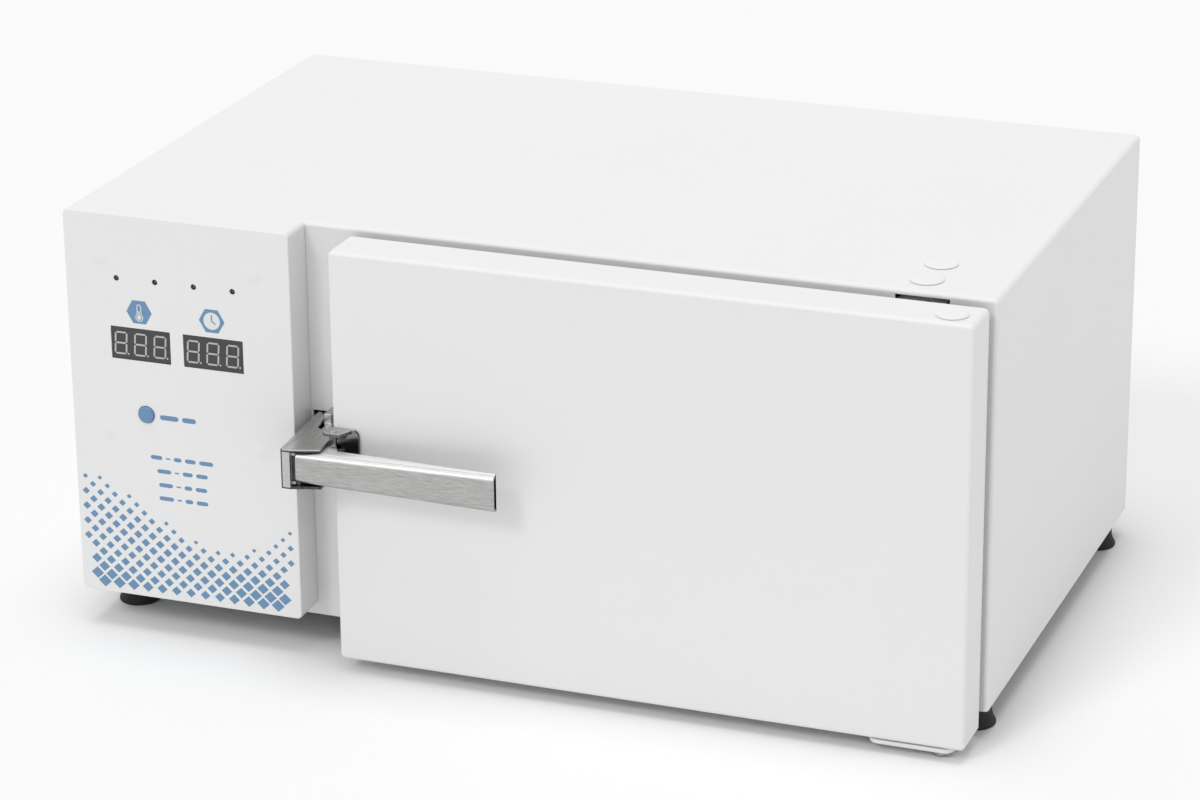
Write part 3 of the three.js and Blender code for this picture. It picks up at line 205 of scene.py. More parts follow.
paintLook = {
    "tone": (0.800, 0.801, 0.800), "drift": (0.822, 0.822, 0.820), "slow": 7, "peel": 620, "grain": 2400,
    "roughness": 0.40, "change": 0.05, "dimple": 0.0056, "dimpleDepth": 0.0009,
}


def paintFinish(name, dimples=()):
    f = Finish(name)
    slow = f.noise(paintLook["slow"], 3)
    peel = f.noise(paintLook["peel"], 2)
    grain = f.noise(paintLook["grain"], 1)
    normal = f.bump(peel * 0.6 + grain * 0.4, 0.10, 0.0003)
    for centre in dimples:  # faint marks of the studs welded behind the sheet
        ends = {0: f.place, 1: tuple(toFrame(centre))}
        away = f.node("ShaderNodeVectorMath", {"operation": "DISTANCE"}, ends, output="Value")
        mark = f.spread(away, 0.0, paintLook["dimple"], 1.0, 0.0)
        normal = f.bump(mark, 0.8, paintLook["dimpleDepth"], normal)
    roughness, change = paintLook["roughness"], paintLook["change"]
    return f.end(
        colour=f.mix(slow, paintLook["tone"], paintLook["drift"]),
        roughness=f.spread(peel, 0.2, 0.8, roughness - change, roughness + change),
        normal=normal,
    )


# lever and fold give how often the grain changes along x, y and z
brushLook = {
    "dark": (0.33, 0.328, 0.323), "light": (0.56, 0.556, 0.549), "lever": (110, 1900, 1900), "fold": (110, 1900, 300),
}


def brushedFinish(name, stretch, dark=None, light=None, roughness=0.34):
    f = Finish(name)
    fine = f.noise(stretch, 3, 0.6)
    broad = f.noise(tuple(value * 0.22 for value in stretch), 2)
    streak = fine * 0.85 + broad * 0.15
    mark = f.spread(streak, 0.32, 0.68)
    return f.end(
        colour=f.mix(mark, dark or brushLook["dark"], light or brushLook["light"]),
        metallic=1.0,
        roughness=f.spread(streak, 0.3, 0.7, roughness + 0.08, roughness - 0.08),
        normal=f.bump(streak, 0.22, 0.0002),
    )


def sheetFinish(name, dark, light, roughness=0.34, flake=90):
    f = Finish(name)
    cell = f.node(
        "ShaderNodeTexVoronoi", {"feature": "F1"}, {"Vector": f.place, "Scale": float(flake)}, output="Color",
    )
    spangle = f.node("ShaderNodeSeparateColor", None, {"Color": cell})
    cloud = f.noise(35, 3)
    tone = spangle * 0.35 + cloud * 0.65
    return f.end(
        colour=f.mix(tone, dark, light),
        metallic=1.0,
        roughness=f.spread(tone, 0.2, 0.8, roughness + 0.1, roughness - 0.05),
        normal=f.bump(f.noise(1400, 2), 0.12, 0.0002),
    )


def rubberFinish(name, dark, dust, roughness=0.78):
    f = Finish(name)
    pores = f.noise(1300, 3)
    smear = f.noise(60, 4)
    return f.end(
        colour=f.mix(f.spread(smear, 0.42, 0.75, 0.0, 0.55), dark, dust),
        roughness=f.spread(pores, 0.2, 0.8, roughness - 0.1, roughness + 0.1),
        normal=f.bump(pores, 0.3, 0.0003),
    )


def plasticFinish(name, tone, light, roughness=0.42, texture=1500, coat=0.0):
    f = Finish(name)
    spark = f.noise(texture, 2)
    cloud = f.noise(25, 3)
    return f.end(
        colour=f.mix(cloud, tone, light),
        roughness=f.spread(spark, 0.2, 0.8, roughness - 0.06, roughness + 0.06),
        normal=f.bump(spark, 0.12, 0.0002),
        coat=coat,
    )


woolLook = {"dark": (0.22, 0.17, 0.085), "light": (0.66, 0.58, 0.38)}


def woolFinish(name):
    f = Finish(name)
    fibre = f.noise((240, 1500, 1500), 4, 0.65)
    clump = f.noise(70, 4, 0.6)
    return f.end(
        colour=f.mix(fibre * 0.5 + clump * 0.5, woolLook["dark"], woolLook["light"]),
        roughness=0.95,
        normal=f.bump(fibre * 0.5 + clump * 0.5, 0.9, 0.002),
        sheen=0.15,
    )


boardLook = {"track": (0.012, 0.085, 0.032), "ground": (0.022, 0.145, 0.055)}


def boardFinish(name):
    f = Finish(name)
    edge = f.node(
        "ShaderNodeTexVoronoi", {"feature": "DISTANCE_TO_EDGE", "distance": "EUCLIDEAN"},
        {"Vector": f.place, "Scale": 210.0, "Randomness": 0.35},
    )
    track = f.spread(edge, 0.05, 0.09)
    weave = f.noise(1800, 1)
    return f.end(
        colour=f.mix(track, boardLook["track"], boardLook["ground"]),
        roughness=f.spread(weave, 0.2, 0.8, 0.28, 0.42),
        normal=f.bump(track, 0.3, 0.0002),
        coat=0.25,
    )


windingLook = {"groove": (0.19, 0.055, 0.02), "wire": (0.62, 0.27, 0.10)}


def windingFinish(name):
    f = Finish(name)
    turns = f.node(
        "ShaderNodeTexWave", {"wave_type": "BANDS", "bands_direction": "Z"},
        {"Vector": f.place, "Scale": 420.0, "Distortion": 0.6, "Detail": 1.0},
    )
    return f.end(
        colour=f.mix(turns, windingLook["groove"], windingLook["wire"]),
        metallic=0.85,
        roughness=f.spread(turns, 0.0, 1.0, 0.5, 0.28),
        normal=f.bump(turns, 0.6, 0.0004),
    )


panelBox, doorBox, caseBox = boxOf("control_panel"), boxOf("door_shell"), boxOf("casing")
panelFace = panelBox[0][1]
stud = {"inset": 22, "topDrop": 27, "boardDrop": 108}  # studs behind the panel, two high and two lower
studPlaces = [
    (x, panelFace, z)
    for x in (panelBox[0][0] + stud["inset"], panelBox[1][0] - stud["inset"])
    for z in (caseBox[1][2] - stud["topDrop"], caseBox[1][2] - stud["topDrop"] - stud["boardDrop"])
]

whitePaint = paintFinish("white_paint")
panelPaint = paintFinish("panel_paint", studPlaces)
leverSteel = brushedFinish("lever_steel", brushLook["lever"], roughness=0.40)
foldGrain = brushLook["fold"]
# lighter copies of the lever's steel for its faces that look up: painted highlight on the fold and the flange
foldHighlightSteel = brushedFinish("lever_fold_painted_highlight", foldGrain, (0.50, 0.498, 0.494), (0.62, 0.618, 0.612), 0.42)
flangeHighlightSteel = brushedFinish("lever_flange_painted_highlight", foldGrain, (0.86, 0.858, 0.852), (0.95, 0.948, 0.942), 0.52)
latchSteel = brushedFinish("latch_steel", (700, 26, 700), (0.46, 0.457, 0.450), (0.60, 0.596, 0.588), 0.30)
# near-black steel for the latch's base plate: painted shade and painted dark reflection
basePaintedShadeSteel = brushedFinish("latch_base_painted_shade_steel", (26, 700, 700), (0.09, 0.089, 0.087), (0.20, 0.198, 0.194), 0.20)
# near-black steel for strips and parts that lie in shade: painted shade
paintedShadeSteel = brushedFinish("edge_painted_shade_steel", (500, 500, 60), (0.05, 0.05, 0.049), (0.11, 0.109, 0.107), 0.30)
keeperSteel = brushedFinish("keeper_steel", (700, 26, 700), (0.42, 0.417, 0.411), (0.54, 0.537, 0.530), 0.34)
linerSteel = brushedFinish("liner_steel", (14, 14, 700), (0.46, 0.465, 0.47), (0.62, 0.625, 0.63), 0.30)
traySteel = brushedFinish("tray_steel", (900, 12, 900), (0.42, 0.425, 0.43), (0.63, 0.635, 0.64), 0.28)
zincSteel = sheetFinish("zinc_steel", (0.42, 0.43, 0.44), (0.60, 0.61, 0.62), 0.42)
pinSteel = sheetFinish("pin_steel", (0.34, 0.34, 0.335), (0.55, 0.55, 0.54), 0.32, 400)
blackRubber = rubberFinish("black_rubber", (0.010, 0.010, 0.011), (0.045, 0.043, 0.040))
grayRubber = rubberFinish("gray_rubber", (0.24, 0.235, 0.22), (0.36, 0.35, 0.33), 0.66)
displayGray = plasticFinish("display_gray", (0.027, 0.029, 0.032), (0.038, 0.040, 0.043), 0.30, 2600, 0.25)
segmentWhite = plasticFinish("segment_white", (0.46, 0.455, 0.44), (0.54, 0.535, 0.52), 0.45, 2600)
blueInk = plasticFinish("blue_ink", (0.130, 0.262, 0.440), (0.148, 0.286, 0.468), 0.50, 2200)
buttonBlue = plasticFinish("button_blue", (0.126, 0.256, 0.432), (0.144, 0.280, 0.460), 0.42, 1800)
lightLens = plasticFinish("light_lens", (0.016, 0.015, 0.015), (0.030, 0.028, 0.027), 0.16, 3000, 0.6)
redLens = plasticFinish("red_lens", (0.045, 0.017, 0.016), (0.070, 0.024, 0.021), 0.16, 3000, 0.6)
blackPlastic = plasticFinish("black_plastic", (0.012, 0.012, 0.013), (0.022, 0.022, 0.023), 0.46, 1100)
whitePlastic = plasticFinish("white_plastic", (0.80, 0.80, 0.79), (0.84, 0.84, 0.83), 0.36, 1200)
markWhite = plasticFinish("mark_white", (0.74, 0.74, 0.73), (0.80, 0.80, 0.79), 0.5, 2000)
stoneWool = woolFinish("stone_wool")
greenBoard = boardFinish("green_board")
copperWinding = windingFinish("copper_winding")
print("finishes made")


# Meshes from arrays: lengths in metres and angles in degrees

meshLook = {"merge": 2e-6, "mergeSolid": 4e-6, "flat": 1, "sharp": 35, "smooth": 38}


# points in millimetres from the case; doubles merge, which closes poles, and faces turn outwards
def putMesh(name, points, faces, material, body, smoothAngle=meshLook["smooth"]):
    data = bpy.data.meshes.new(name)
    data.from_pydata(toFrame(points).reshape(-1, 3), [], faces)
    clean = bmesh.new()
    clean.from_mesh(data)
    bmesh.ops.remove_doubles(clean, verts=clean.verts, dist=meshLook["merge"])
    bmesh.ops.dissolve_degenerate(clean, dist=1e-7, edges=clean.edges)
    bmesh.ops.recalc_face_normals(clean, faces=clean.faces)
    clean.to_mesh(data)
    clean.free()
    return finishPiece(name, data, material, body, smoothAngle)


def finishPiece(name, data, material, body, smoothAngle=meshLook["smooth"]):
    data.materials.clear()
    data.materials.append(material)
    data.polygons.foreach_set("use_smooth", np.ones(len(data.polygons), bool))
    data.set_sharp_from_angle(angle=radians(smoothAngle))
    piece = bpy.data.objects.new(name, data)
    bpy.context.scene.collection.objects.link(piece)
    level = piece.modifiers.new("even_normals", "WEIGHTED_NORMAL")
    level.keep_sharp = True
    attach(piece, body)
    return piece


# Quads between neighbouring rows and columns of a grid: each row is a ring, and the end rings get a face of their own
# unless the rows close as well
def gridFaces(rows, columns, closeRows=False):
    number = np.arange(rows * columns).reshape(rows, columns)
    ahead = np.roll(number, -1, axis=0)
    beside = np.roll(number, -1, axis=1)
    corner = np.roll(ahead, -1, axis=1)
    quads = np.stack([number, beside, corner, ahead], axis=-1)
    if closeRows:
        return quads.reshape(-1, 4).tolist()
    return quads[:-1].reshape(-1, 4).tolist() + [number[0, ::-1].tolist(), number[-1].tolist()]


# A profile of (radius, height) turned about an axis: each point circles the axis at its radius and height
def turned(name, profile, centre, axis, material, body, steps, dent=None):
    radius, height = np.array(profile, float).T[:, :, None]
    angle = np.linspace(0, 2 * pi, steps, endpoint=False)[None, :]
    across, beside = radius * np.cos(angle), radius * np.sin(angle)
    height = height + 0 * angle
    if dent is not None:
        height = height + dent(across, beside, height)
    order = {"x": (height, across, beside), "y": (across, height, beside), "z": (across, beside, height)}[axis]
    shift = {"x": (0, centre[0], centre[1]), "y": (centre[0], 0, centre[1]), "z": (centre[0], centre[1], 0)}[axis]
    points = np.stack(order, axis=-1) + np.array(shift, float)
    return putMesh(name, points, gridFaces(len(profile), steps), material, body)


# Points of a rectangle with rounded corners: a quarter circle at each corner, the same count at any inset
def softOutline(spanU, spanV, radius, steps):
    radius = max(radius, 0.02)
    quarter = np.linspace(0, pi / 2, steps + 1)
    arcs = []
    for turn, (u, v) in enumerate([
        (spanU[1] - radius, spanV[1] - radius), (spanU[0] + radius, spanV[1] - radius),
        (spanU[0] + radius, spanV[0] + radius), (spanU[1] - radius, spanV[0] + radius),
    ]):
        angle = quarter + turn * pi / 2
        arcs.append(np.stack([u + radius * np.cos(angle), v + radius * np.sin(angle)], axis=-1))
    return np.concatenate(arcs)


# A profile of (inset, depth) carried round a rounded rectangle that faces the front
def rimmed(name, spanX, spanZ, radius, profile, material, body, closeRows=False, steps=6):
    rows = []
    for inset, depth in profile:
        spans = [(low + inset, high - inset) for low, high in (spanX, spanZ)]
        ring = softOutline(*spans, radius - inset, steps)
        rows.append(np.stack([ring[:, 0], np.full(len(ring), depth), ring[:, 1]], axis=-1))
    points = np.stack(rows)
    return putMesh(name, points, gridFaces(*points.shape[:2], closeRows), material, body)


# Thin printed shapes on a surface that faces the front: outlines of (shape, point, x and z), each a shallow prism
# that stands out by height and sinks in by sink
def printed(name, outlines, face, height, material, body, sink=0.05):
    outlines = np.asarray(outlines, float)
    shapes, corners = outlines.shape[:2]
    front = np.stack([outlines[..., 0], np.full((shapes, corners), face - height), outlines[..., 1]], axis=-1)
    rear = front.copy()
    rear[..., 1] = face + sink
    points = np.stack([front, rear], axis=1)
    number = np.arange(points.size // 3).reshape(shapes, 2, corners)
    turnedNumber = np.roll(number, -1, axis=2)
    sides = np.stack([number[:, 0], turnedNumber[:, 0], turnedNumber[:, 1], number[:, 1]], axis=-1).reshape(-1, 4)
    faces = sides.tolist() + number[:, 0].tolist() + number[:, 1, ::-1].tolist()
    return putMesh(name, points, faces, material, body)


def circleOutline(x, z, radius, steps=24):
    angle = np.linspace(0, 2 * pi, steps, endpoint=False)
    return np.stack([x + radius * np.cos(angle), z + radius * np.sin(angle)], axis=-1)


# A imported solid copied, its doubles merged and flat faces joined, and its edges rounded step by step; a step is the
# choice of edges, the width and the segments, and a fourth word lets the width run past the ends of short edges
def softened(node, steps, material, name=None, parts=(), cuts=()):
    shape = bmesh.new()
    shape.from_mesh(nodes[node].data)
    bmesh.ops.remove_doubles(shape, verts=shape.verts, dist=meshLook["mergeSolid"])
    bmesh.ops.dissolve_limit(shape, angle_limit=radians(meshLook["flat"]), verts=shape.verts, edges=shape.edges)
    for choose, width, segments, *free in steps:
        shape.edges.ensure_lookup_table()
        ends = np.array([[tuple(v.co) for v in edge.verts] for edge in shape.edges])
        angle = np.array([edge.calc_face_angle(0.0) if len(edge.link_faces) == 2 else 0.0 for edge in shape.edges])
        wanted = (angle > radians(meshLook["sharp"])) & choose((ends - caseOrigin) * 1000)
        picked = [shape.edges[i] for i in np.flatnonzero(wanted)]
        bmesh.ops.bevel(
            shape, geom=picked, offset=width / 1000, offset_type="OFFSET", segments=segments, profile=0.5,
            affect="EDGES", clamp_overlap=not free,
        )
    for point, across in cuts:  # planes that split faces, so that a strip of one can take another finish
        geometry = shape.verts[:] + shape.edges[:] + shape.faces[:]
        bmesh.ops.bisect_plane(shape, geom=geometry, dist=1e-7, plane_co=toFrame(point), plane_no=across)
    bmesh.ops.recalc_face_normals(shape, faces=shape.faces)
    data = bpy.data.meshes.new(node + "_soft")
    shape.to_mesh(data)
    shape.free()
    piece = finishPiece(name or node + "_soft", data, material, nodes[node]["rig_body"])
    if parts:  # faces chosen by their middles take another finish
        middles = np.zeros(len(data.polygons) * 3)
        data.polygons.foreach_get("center", middles)
        middles = (middles.reshape(-1, 3) - caseOrigin) * 1000
        index = np.zeros(len(data.polygons), np.int32)
        for number, (choose, other) in enumerate(parts, 1):
            data.materials.append(other)
            index[choose(middles)] = number
        data.polygons.foreach_set("material_index", index)
    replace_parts(piece, node)
    return piece


def everywhere(ends):
    return np.ones(len(ends), bool)


# Edges that lie in the plane y = depth and on the rim of a box seen from the front
def onRim(box, depth, margin=3.4):
    def choose(ends):
        flat = np.all(np.abs(ends[:, :, 1] - depth) < 0.01, axis=1)
        near = (
            (ends[:, :, 0] < box[0][0] + margin) | (ends[:, :, 0] > box[1][0] - margin)
            | (ends[:, :, 2] < box[0][2] + margin) | (ends[:, :, 2] > box[1][2] - margin)
        )
        return flat & np.all(near, axis=1)
    return choose


print("tools ready")


# Case and its rear cover

caseLook = {"topFold": 2.7, "corner": 3.0, "slack": 0.02}


# Edges of the case front along its top, round its upper corners and down its sides
def onTopFold(ends):
    slack, height = caseLook["slack"], ends[:, :, 2]
    start = caseBox[1][2] - caseLook["corner"]  # where the corners begin
    flat = np.all(np.abs(ends[:, :, 1]) < 0.01, axis=1)
    top = np.all(height > start - slack, axis=1) & np.any(height > start + slack, axis=1)
    side = np.abs(ends.sum(1)[:, 0]) > 2 * (caseBox[1][0] - slack)  # both ends, which leaves out the bottom edge
    return flat & (top | side)


softened("casing", [(onTopFold, caseLook["topFold"], 6, "free")], whitePaint)
softened("rear_cover", [(everywhere, 0.3, 2)], whitePaint)
softened("base_pan", [(everywhere, 0.25, 1)], zincSteel)

screwLook = {
    "headRadius": 3.8, "headHeight": 2.0, "crown": 0.75, "edge": 0.2, "shank": 1.7, "tip": 1.1, "tipLength": 0.6,
    "crossWidth": 0.62, "crossReach": 2.2, "crossDepth": 1.1, "crossLevel": 0.9,
}


# Pan head screw: a dome with a cross cut into it where either distance from the axis is under half the slot's width
def screwPiece(node):
    look = screwLook
    low, high = boxOf(node)
    x, _, z = (low + high) / 2
    radius, shank, edge = look["headRadius"], look["shank"], look["edge"]
    face, under = high[1], high[1] - look["headHeight"]
    dome = [(radius * r, face - look["crown"] * r ** 2.4) for r in np.linspace(0, 1, 15)]
    rest = [
        (radius, under + edge), (radius - edge, under), (shank, under), (shank, low[1] + look["tipLength"]),
        (look["tip"], low[1]), (0, low[1]),
    ]

    def cross(u, v, height):
        arm = (np.minimum(np.abs(u), np.abs(v)) < look["crossWidth"]) & (np.hypot(u, v) < look["crossReach"])
        return np.where(arm & (height > face - look["crossLevel"]), -look["crossDepth"], 0.0)

    piece = turned(node + "_head", dome + rest, (x, z), "y", zincSteel, "case", 64, cross)
    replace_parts(piece, node)


for number in range(1, 5):
    screwPiece(f"rear_screw_{number}")

footLook = {
    "profile": [  # radius and height, from the sole's middle to the top of the stud
        (0, -17.5), (11.4, -17.5), (12.2, -17.3), (12.5, -16.7), (12.45, -15.9), (12.0, -14.9), (11.1, -13.4),
        (10.5, -11.6), (10.15, -9.8), (10.1, -7.8), (10.25, -5.6), (10.6, -3.2), (10.9, -1.2), (10.8, -0.6),
        (10.5, -0.3), (3, -0.3), (3, 4.1), (2.6, 4.5), (0, 4.5),
    ],
}
for number in range(1, 5):
    node = f"foot_{number}"
    x, y, _ = sum(boxOf(node)) / 2
    foot = turned(node + "_rubber", footLook["profile"], (x, y), "z", blackRubber, "case", 48)
    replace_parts(foot, node)
print("case, cover and feet made")


# Control panel with its displays, lights and button

panelLook = {"frontFold": 2.7, "rearFold": 0.8, "edge": 0.25}
softened(
    "control_panel",
    [
        (onRim(panelBox, panelFace), panelLook["frontFold"], 5),
        (onRim(panelBox, panelBox[1][1]), panelLook["rearFold"], 2),
        (everywhere, panelLook["edge"], 1),
    ],
    panelPaint,
)

displayLook = {
    "corner": 0.5, "edge": 0.35, "rearEdge": 0.2, "knee": 0.12, "frame": 1.0,
    "digitPitch": 12.5, "digitWidth": 8.1, "digitHeight": 14.0, "digitShift": 0.3, "stroke": 1.0, "break": 0.3,
    "slant": 3.5, "point": 0.6, "pointShift": 4.2, "pointRise": 0.6, "layer": 0.05,
}


# Seven-segment digit: pointed strokes, three level and four upright, leaning by a shear of x with height
def digitOutlines(x, z):
    look = displayLook
    half, high = (look["digitWidth"] - look["stroke"]) / 2, (look["digitHeight"] - look["stroke"]) / 2
    s, cut = look["stroke"] / 2, look["break"]

    def stroke(length, upright):
        end = length / 2 - cut
        shape = np.array([(-end, 0), (-end + s, s), (end - s, s), (end, 0), (end - s, -s), (-end + s, -s)])
        return shape[:, ::-1] if upright else shape

    shapes = [stroke(2 * half, False) + (0, level) for level in (-high, 0, high)]
    shapes += [stroke(high, True) + (side * half, level * high / 2) for side in (-1, 1) for level in (-1, 1)]
    shapes = np.array(shapes)
    shapes[..., 0] += shapes[..., 1] * tan(radians(look["slant"]))
    return shapes + (x, z)


# A window, the strokes of its three digits and their decimal points
def displayPiece(node):
    look = displayLook
    low, high = boxOf(node)
    x, _, z = (low + high) / 2
    face, rear, edge, knee, rearEdge = low[1], high[1], look["edge"], look["knee"], look["rearEdge"]
    profile = [
        (rearEdge, rear), (0, rear - rearEdge), (0, face + edge), (knee, face + knee), (edge, face),
        (look["frame"], face),
    ]
    window = rimmed(
        node + "_window", (low[0], high[0]), (low[2], high[2]), look["corner"], profile,
        displayGray, "case",
    )
    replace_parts(window, node)
    places = [x + step * look["digitPitch"] for step in (-1, 0, 1)]
    digits = np.concatenate([digitOutlines(place - look["digitShift"], z) for place in places])
    printed(node + "_digits", digits, face, look["layer"], segmentWhite, "case")
    level = z - look["digitHeight"] / 2 + look["pointRise"]
    points = [circleOutline(place + look["pointShift"], level, look["point"], 14) for place in places]
    printed(node + "_points", points, face, look["layer"], segmentWhite, "case")


displayPiece("temperature_display")
displayPiece("time_display")

lightLook = {"radius": 1.45, "dome": 1.2, "collar": 2.2, "collarHeight": 1.5}


# Light: a dome that is a quarter ellipse turned about y, on a collar behind the sheet
def lightPiece(node, finish):
    low, high = boxOf(node)
    x, _, z = (low + high) / 2
    tip, rear, radius, collar = low[1], high[1], lightLook["radius"], lightLook["collar"]
    shoulder = rear - lightLook["collarHeight"]
    dome = [(radius * sin(a), tip + lightLook["dome"] * (1 - cos(a))) for a in np.linspace(0, pi / 2, 8)]
    rest = [(radius, shoulder), (collar, shoulder), (collar, rear), (0, rear)]
    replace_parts(turned(node + "_lens", dome + rest, (x, z), "y", finish, "case", 28), node)


for number in range(1, 5):
    lightPiece(f"indicator_light_{number}", redLens if number == 1 else lightLens)

buttonLook = {
    "crown": [(0, 0), (3.9, 0.04), (4.55, 0.18), (4.9, 0.5), (5, 0.95)],  # radius and depth behind the front
    "radius": 5, "collar": 6.4, "collarFront": -22.2, "collarRear": -20.6,
}
buttonBox = boxOf("program_button")
buttonX, _, buttonZ = sum(buttonBox) / 2


# Button: a crowned disc turned about y, with a collar behind the sheet
def makeButton():
    look, front, rear = buttonLook, buttonBox[0][1], buttonBox[1][1]
    radius, collar, collarFront, collarRear = look["radius"], look["collar"], look["collarFront"], look["collarRear"]
    crown = [(across, front + depth) for across, depth in look["crown"]]
    rest = [
        (radius, collarFront), (collar, collarFront), (collar, collarRear), (radius, collarRear),
        (radius, rear), (0, rear),
    ]
    cap = turned(
        "program_button_cap", crown + rest, (buttonX, buttonZ), "y",
        buttonBlue, "program_button", 56,
    )
    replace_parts(cap, "program_button")


makeButton()
print("panel, displays, lights and button made")


# Prints on the panel: two badges, a few bars and a fading field of small diamonds

badgeLook = {
    "z": 185.0, "half": 8.1, "layer": 0.045, "bulbDrop": 3.2,
    "thermometer": [(2.5, 1.45, 6.6), (1.95, 0.9, 6.6), (1.35, 0.36, 3.6)],  # bulb, stem and the stem's top
    "clock": 5.2, "hands": [(3.9, 0.75, pi / 2), (3.0, 0.75, -pi / 5)],  # length, width and turn
}


def hexOutline(x, z, half):
    angle = np.arange(6) * pi / 3
    return np.stack([x + half * np.cos(angle), z + half * np.sin(angle)], axis=-1)


# Thermometer: a bulb's arc that runs into a straight stem with a round top
def thermometerOutline(x, z, bulb, stem, top):
    gap = np.arcsin(stem / bulb)
    arc = np.linspace(pi / 2 + gap, 2.5 * pi - gap, 28)
    tip = np.linspace(0, pi, 12)
    ball = np.stack([bulb * np.cos(arc), bulb * np.sin(arc)], axis=-1)
    head = np.stack([stem * np.cos(tip), top + stem * np.sin(tip)], axis=-1)
    return np.concatenate([ball, head]) + (x, z)


# A straight bar with round ends, turned about its left end
def barOutline(x, z, length, height, turn=0.0, steps=6):
    arc = np.linspace(-pi / 2, pi / 2, steps)
    right = np.stack([length - height / 2 + height / 2 * np.cos(arc), height / 2 * np.sin(arc)], axis=-1)
    left = np.stack([height / 2 - height / 2 * np.cos(arc), -height / 2 * np.sin(arc)], axis=-1)
    shape = np.concatenate([right, left])
    turnBy = np.array([[cos(turn), sin(turn)], [-sin(turn), cos(turn)]])
    return shape @ turnBy + (x, z)


# Six-sided plates over the displays with a thermometer and a clock; each print is thicker than the one that it covers
def makeBadges():
    look, z = badgeLook, badgeLook["z"]
    heatX, timeX = (sum(boxOf(node))[0] / 2 for node in ("temperature_display", "time_display"))
    tubes = [[thermometerOutline(heatX, z - look["bulbDrop"], *sizes)] for sizes in look["thermometer"]]
    prints = [
        ("badge_plates", [hexOutline(x, z, look["half"]) for x in (heatX, timeX)], 1),
        ("thermometer_white", tubes[0], 2),
        ("thermometer_gap", tubes[1], 3),
        ("thermometer_fill", tubes[2], 4),
        ("clock_face", [circleOutline(timeX, z, look["clock"], 40)], 2),
        ("clock_hands", [barOutline(timeX, z, *sizes) for sizes in look["hands"]], 3),
    ]
    for name, outlines, layers in prints:  # blue and white take turns
        ink, slot = (blueInk, "blue_plastic") if layers % 2 else (markWhite, "white_paint")
        printed(name, outlines, panelFace, layers * look["layer"], ink, "case")


barLook = {
    "height": 2.5, "gap": 2.2, "middle": -205.7, "dash": 3.0, "dashHeight": 0.9,
    "rows": {  # height of each row and the lengths of its bars
        96.0: (7.5, 3.0, 5.0, 7.0, 9.0), 87.6: (9.0, 3.0, 6.5, 7.5),
        79.0: (9.0, 3.0, 5.0, 7.5), 70.6: (9.5, 3.0, 5.0, 7.5),
    },
    "caption": (12.0, 9.0), "captionHeight": 3.0, "captionShift": 8.6, "captionDrop": 0.6,
}


# Four rows of bars centred on one line, and two bars beside the button
def makeBars():
    look, shapes = barLook, []
    for z, lengths in look["rows"].items():
        x = look["middle"] - (sum(lengths) + look["gap"] * (len(lengths) - 1)) / 2
        for length in lengths:
            shapes.append(barOutline(x, z, length, look["dashHeight"] if length == look["dash"] else look["height"]))
            x += length + look["gap"]
    x = buttonX + look["captionShift"]
    for length in look["caption"]:
        shapes.append(barOutline(x, buttonZ - look["captionDrop"], length, look["captionHeight"]))
        x += length + look["gap"]
    printed("label_bars", shapes, panelFace, badgeLook["layer"], blueInk, "case")


fieldLook = {
    "pitch": 9.4, "largest": 4.4, "smallest": 1.1, "mean": 54, "swing": 20, "turns": 1.5, "edge": 2.6,
    "power": 0.55, "ripple": 0.18, "tallness": 0.92,
}


# Field of diamonds on staggered rows: size falls from the foot of the panel to a wavy upper line
def makeField():
    look = fieldLook
    left, right, low = panelBox[0][0] + look["edge"], panelBox[1][0] - look["edge"], panelBox[0][2] + look["edge"]
    columns = np.arange(int((right - left) / look["pitch"]) + 1)
    rows = np.arange(int((look["mean"] + look["swing"]) / look["pitch"] * 2) + 1)
    column, row = np.meshgrid(columns, rows)
    margin = ((right - left) - columns[-1] * look["pitch"]) / 2
    x = left + margin + (column + 0.5 * (row % 2)) * look["pitch"]
    z = low + look["largest"] * 0.9 + row * look["pitch"] * 0.5
    share = (x - left) / (right - left)
    top = look["mean"] + look["swing"] * np.cos(look["turns"] * pi * share)
    fade = 1 - (z - low) / top
    ripple = 1 - look["ripple"] + look["ripple"] * np.sin(2.1 * pi * share + 0.11 * z)
    size = look["smallest"] + (look["largest"] - look["smallest"]) * np.clip(fade, 0, 1) ** look["power"] * ripple
    kept = (fade > 0.02) & (x + size < right) & (x - size > left)
    x, z, size = x[kept], z[kept], size[kept]
    unit = np.array([(1, 0), (0, look["tallness"]), (-1, 0), (0, -look["tallness"])])
    outlines = unit[None] * size[:, None, None] + np.stack([x, z], axis=-1)[:, None]
    printed("diamond_field", outlines, panelFace, badgeLook["layer"], blueInk, "case")
    print("diamonds on the panel:", len(outlines))


makeBadges()
makeBars()
makeField()


# Door, hinge and caps

doorLook = {"frontFold": 2.5, "edge": 0.3}
softened(
    "door_shell", [(onRim(doorBox, doorBox[0][1]), doorLook["frontFold"], 4), (everywhere, doorLook["edge"], 1)],
    whitePaint,
)
softened("door_inner_panel", [(everywhere, 0.3, 2)], linerSteel)

gasketLook = {"width": 8.0, "corner": 11.0, "root": 1.2, "bulbStart": 1.4, "bulbInset": 0.6}


# Gasket: a bulb with a flat root, carried round the chamber's mouth
def makeGasket():
    low, high = boxOf("door_gasket")
    front, rear, width = low[1], high[1], gasketLook["width"]
    root, start, reach = front + gasketLook["root"], gasketLook["bulbStart"], width / 2 - gasketLook["bulbInset"]
    angle = np.linspace(0, pi, 12)
    bulb = [(width / 2 - reach * cos(a), front + start + (rear - front - start) * sin(a) ** 0.8) for a in angle]
    profile = [(0.0, front), (0.0, root)] + bulb + [(width, root), (width, front)]
    piece = rimmed(
        "door_gasket_bulb", (low[0], high[0]), (low[2], high[2]), gasketLook["corner"],
        profile, grayRubber, "door", closeRows=True, steps=10,
    )
    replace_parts(piece, "door_gasket")


makeGasket()

capLook = {"thickness": 0.9, "round": 0.75, "slope": 2.2, "stem": 3}


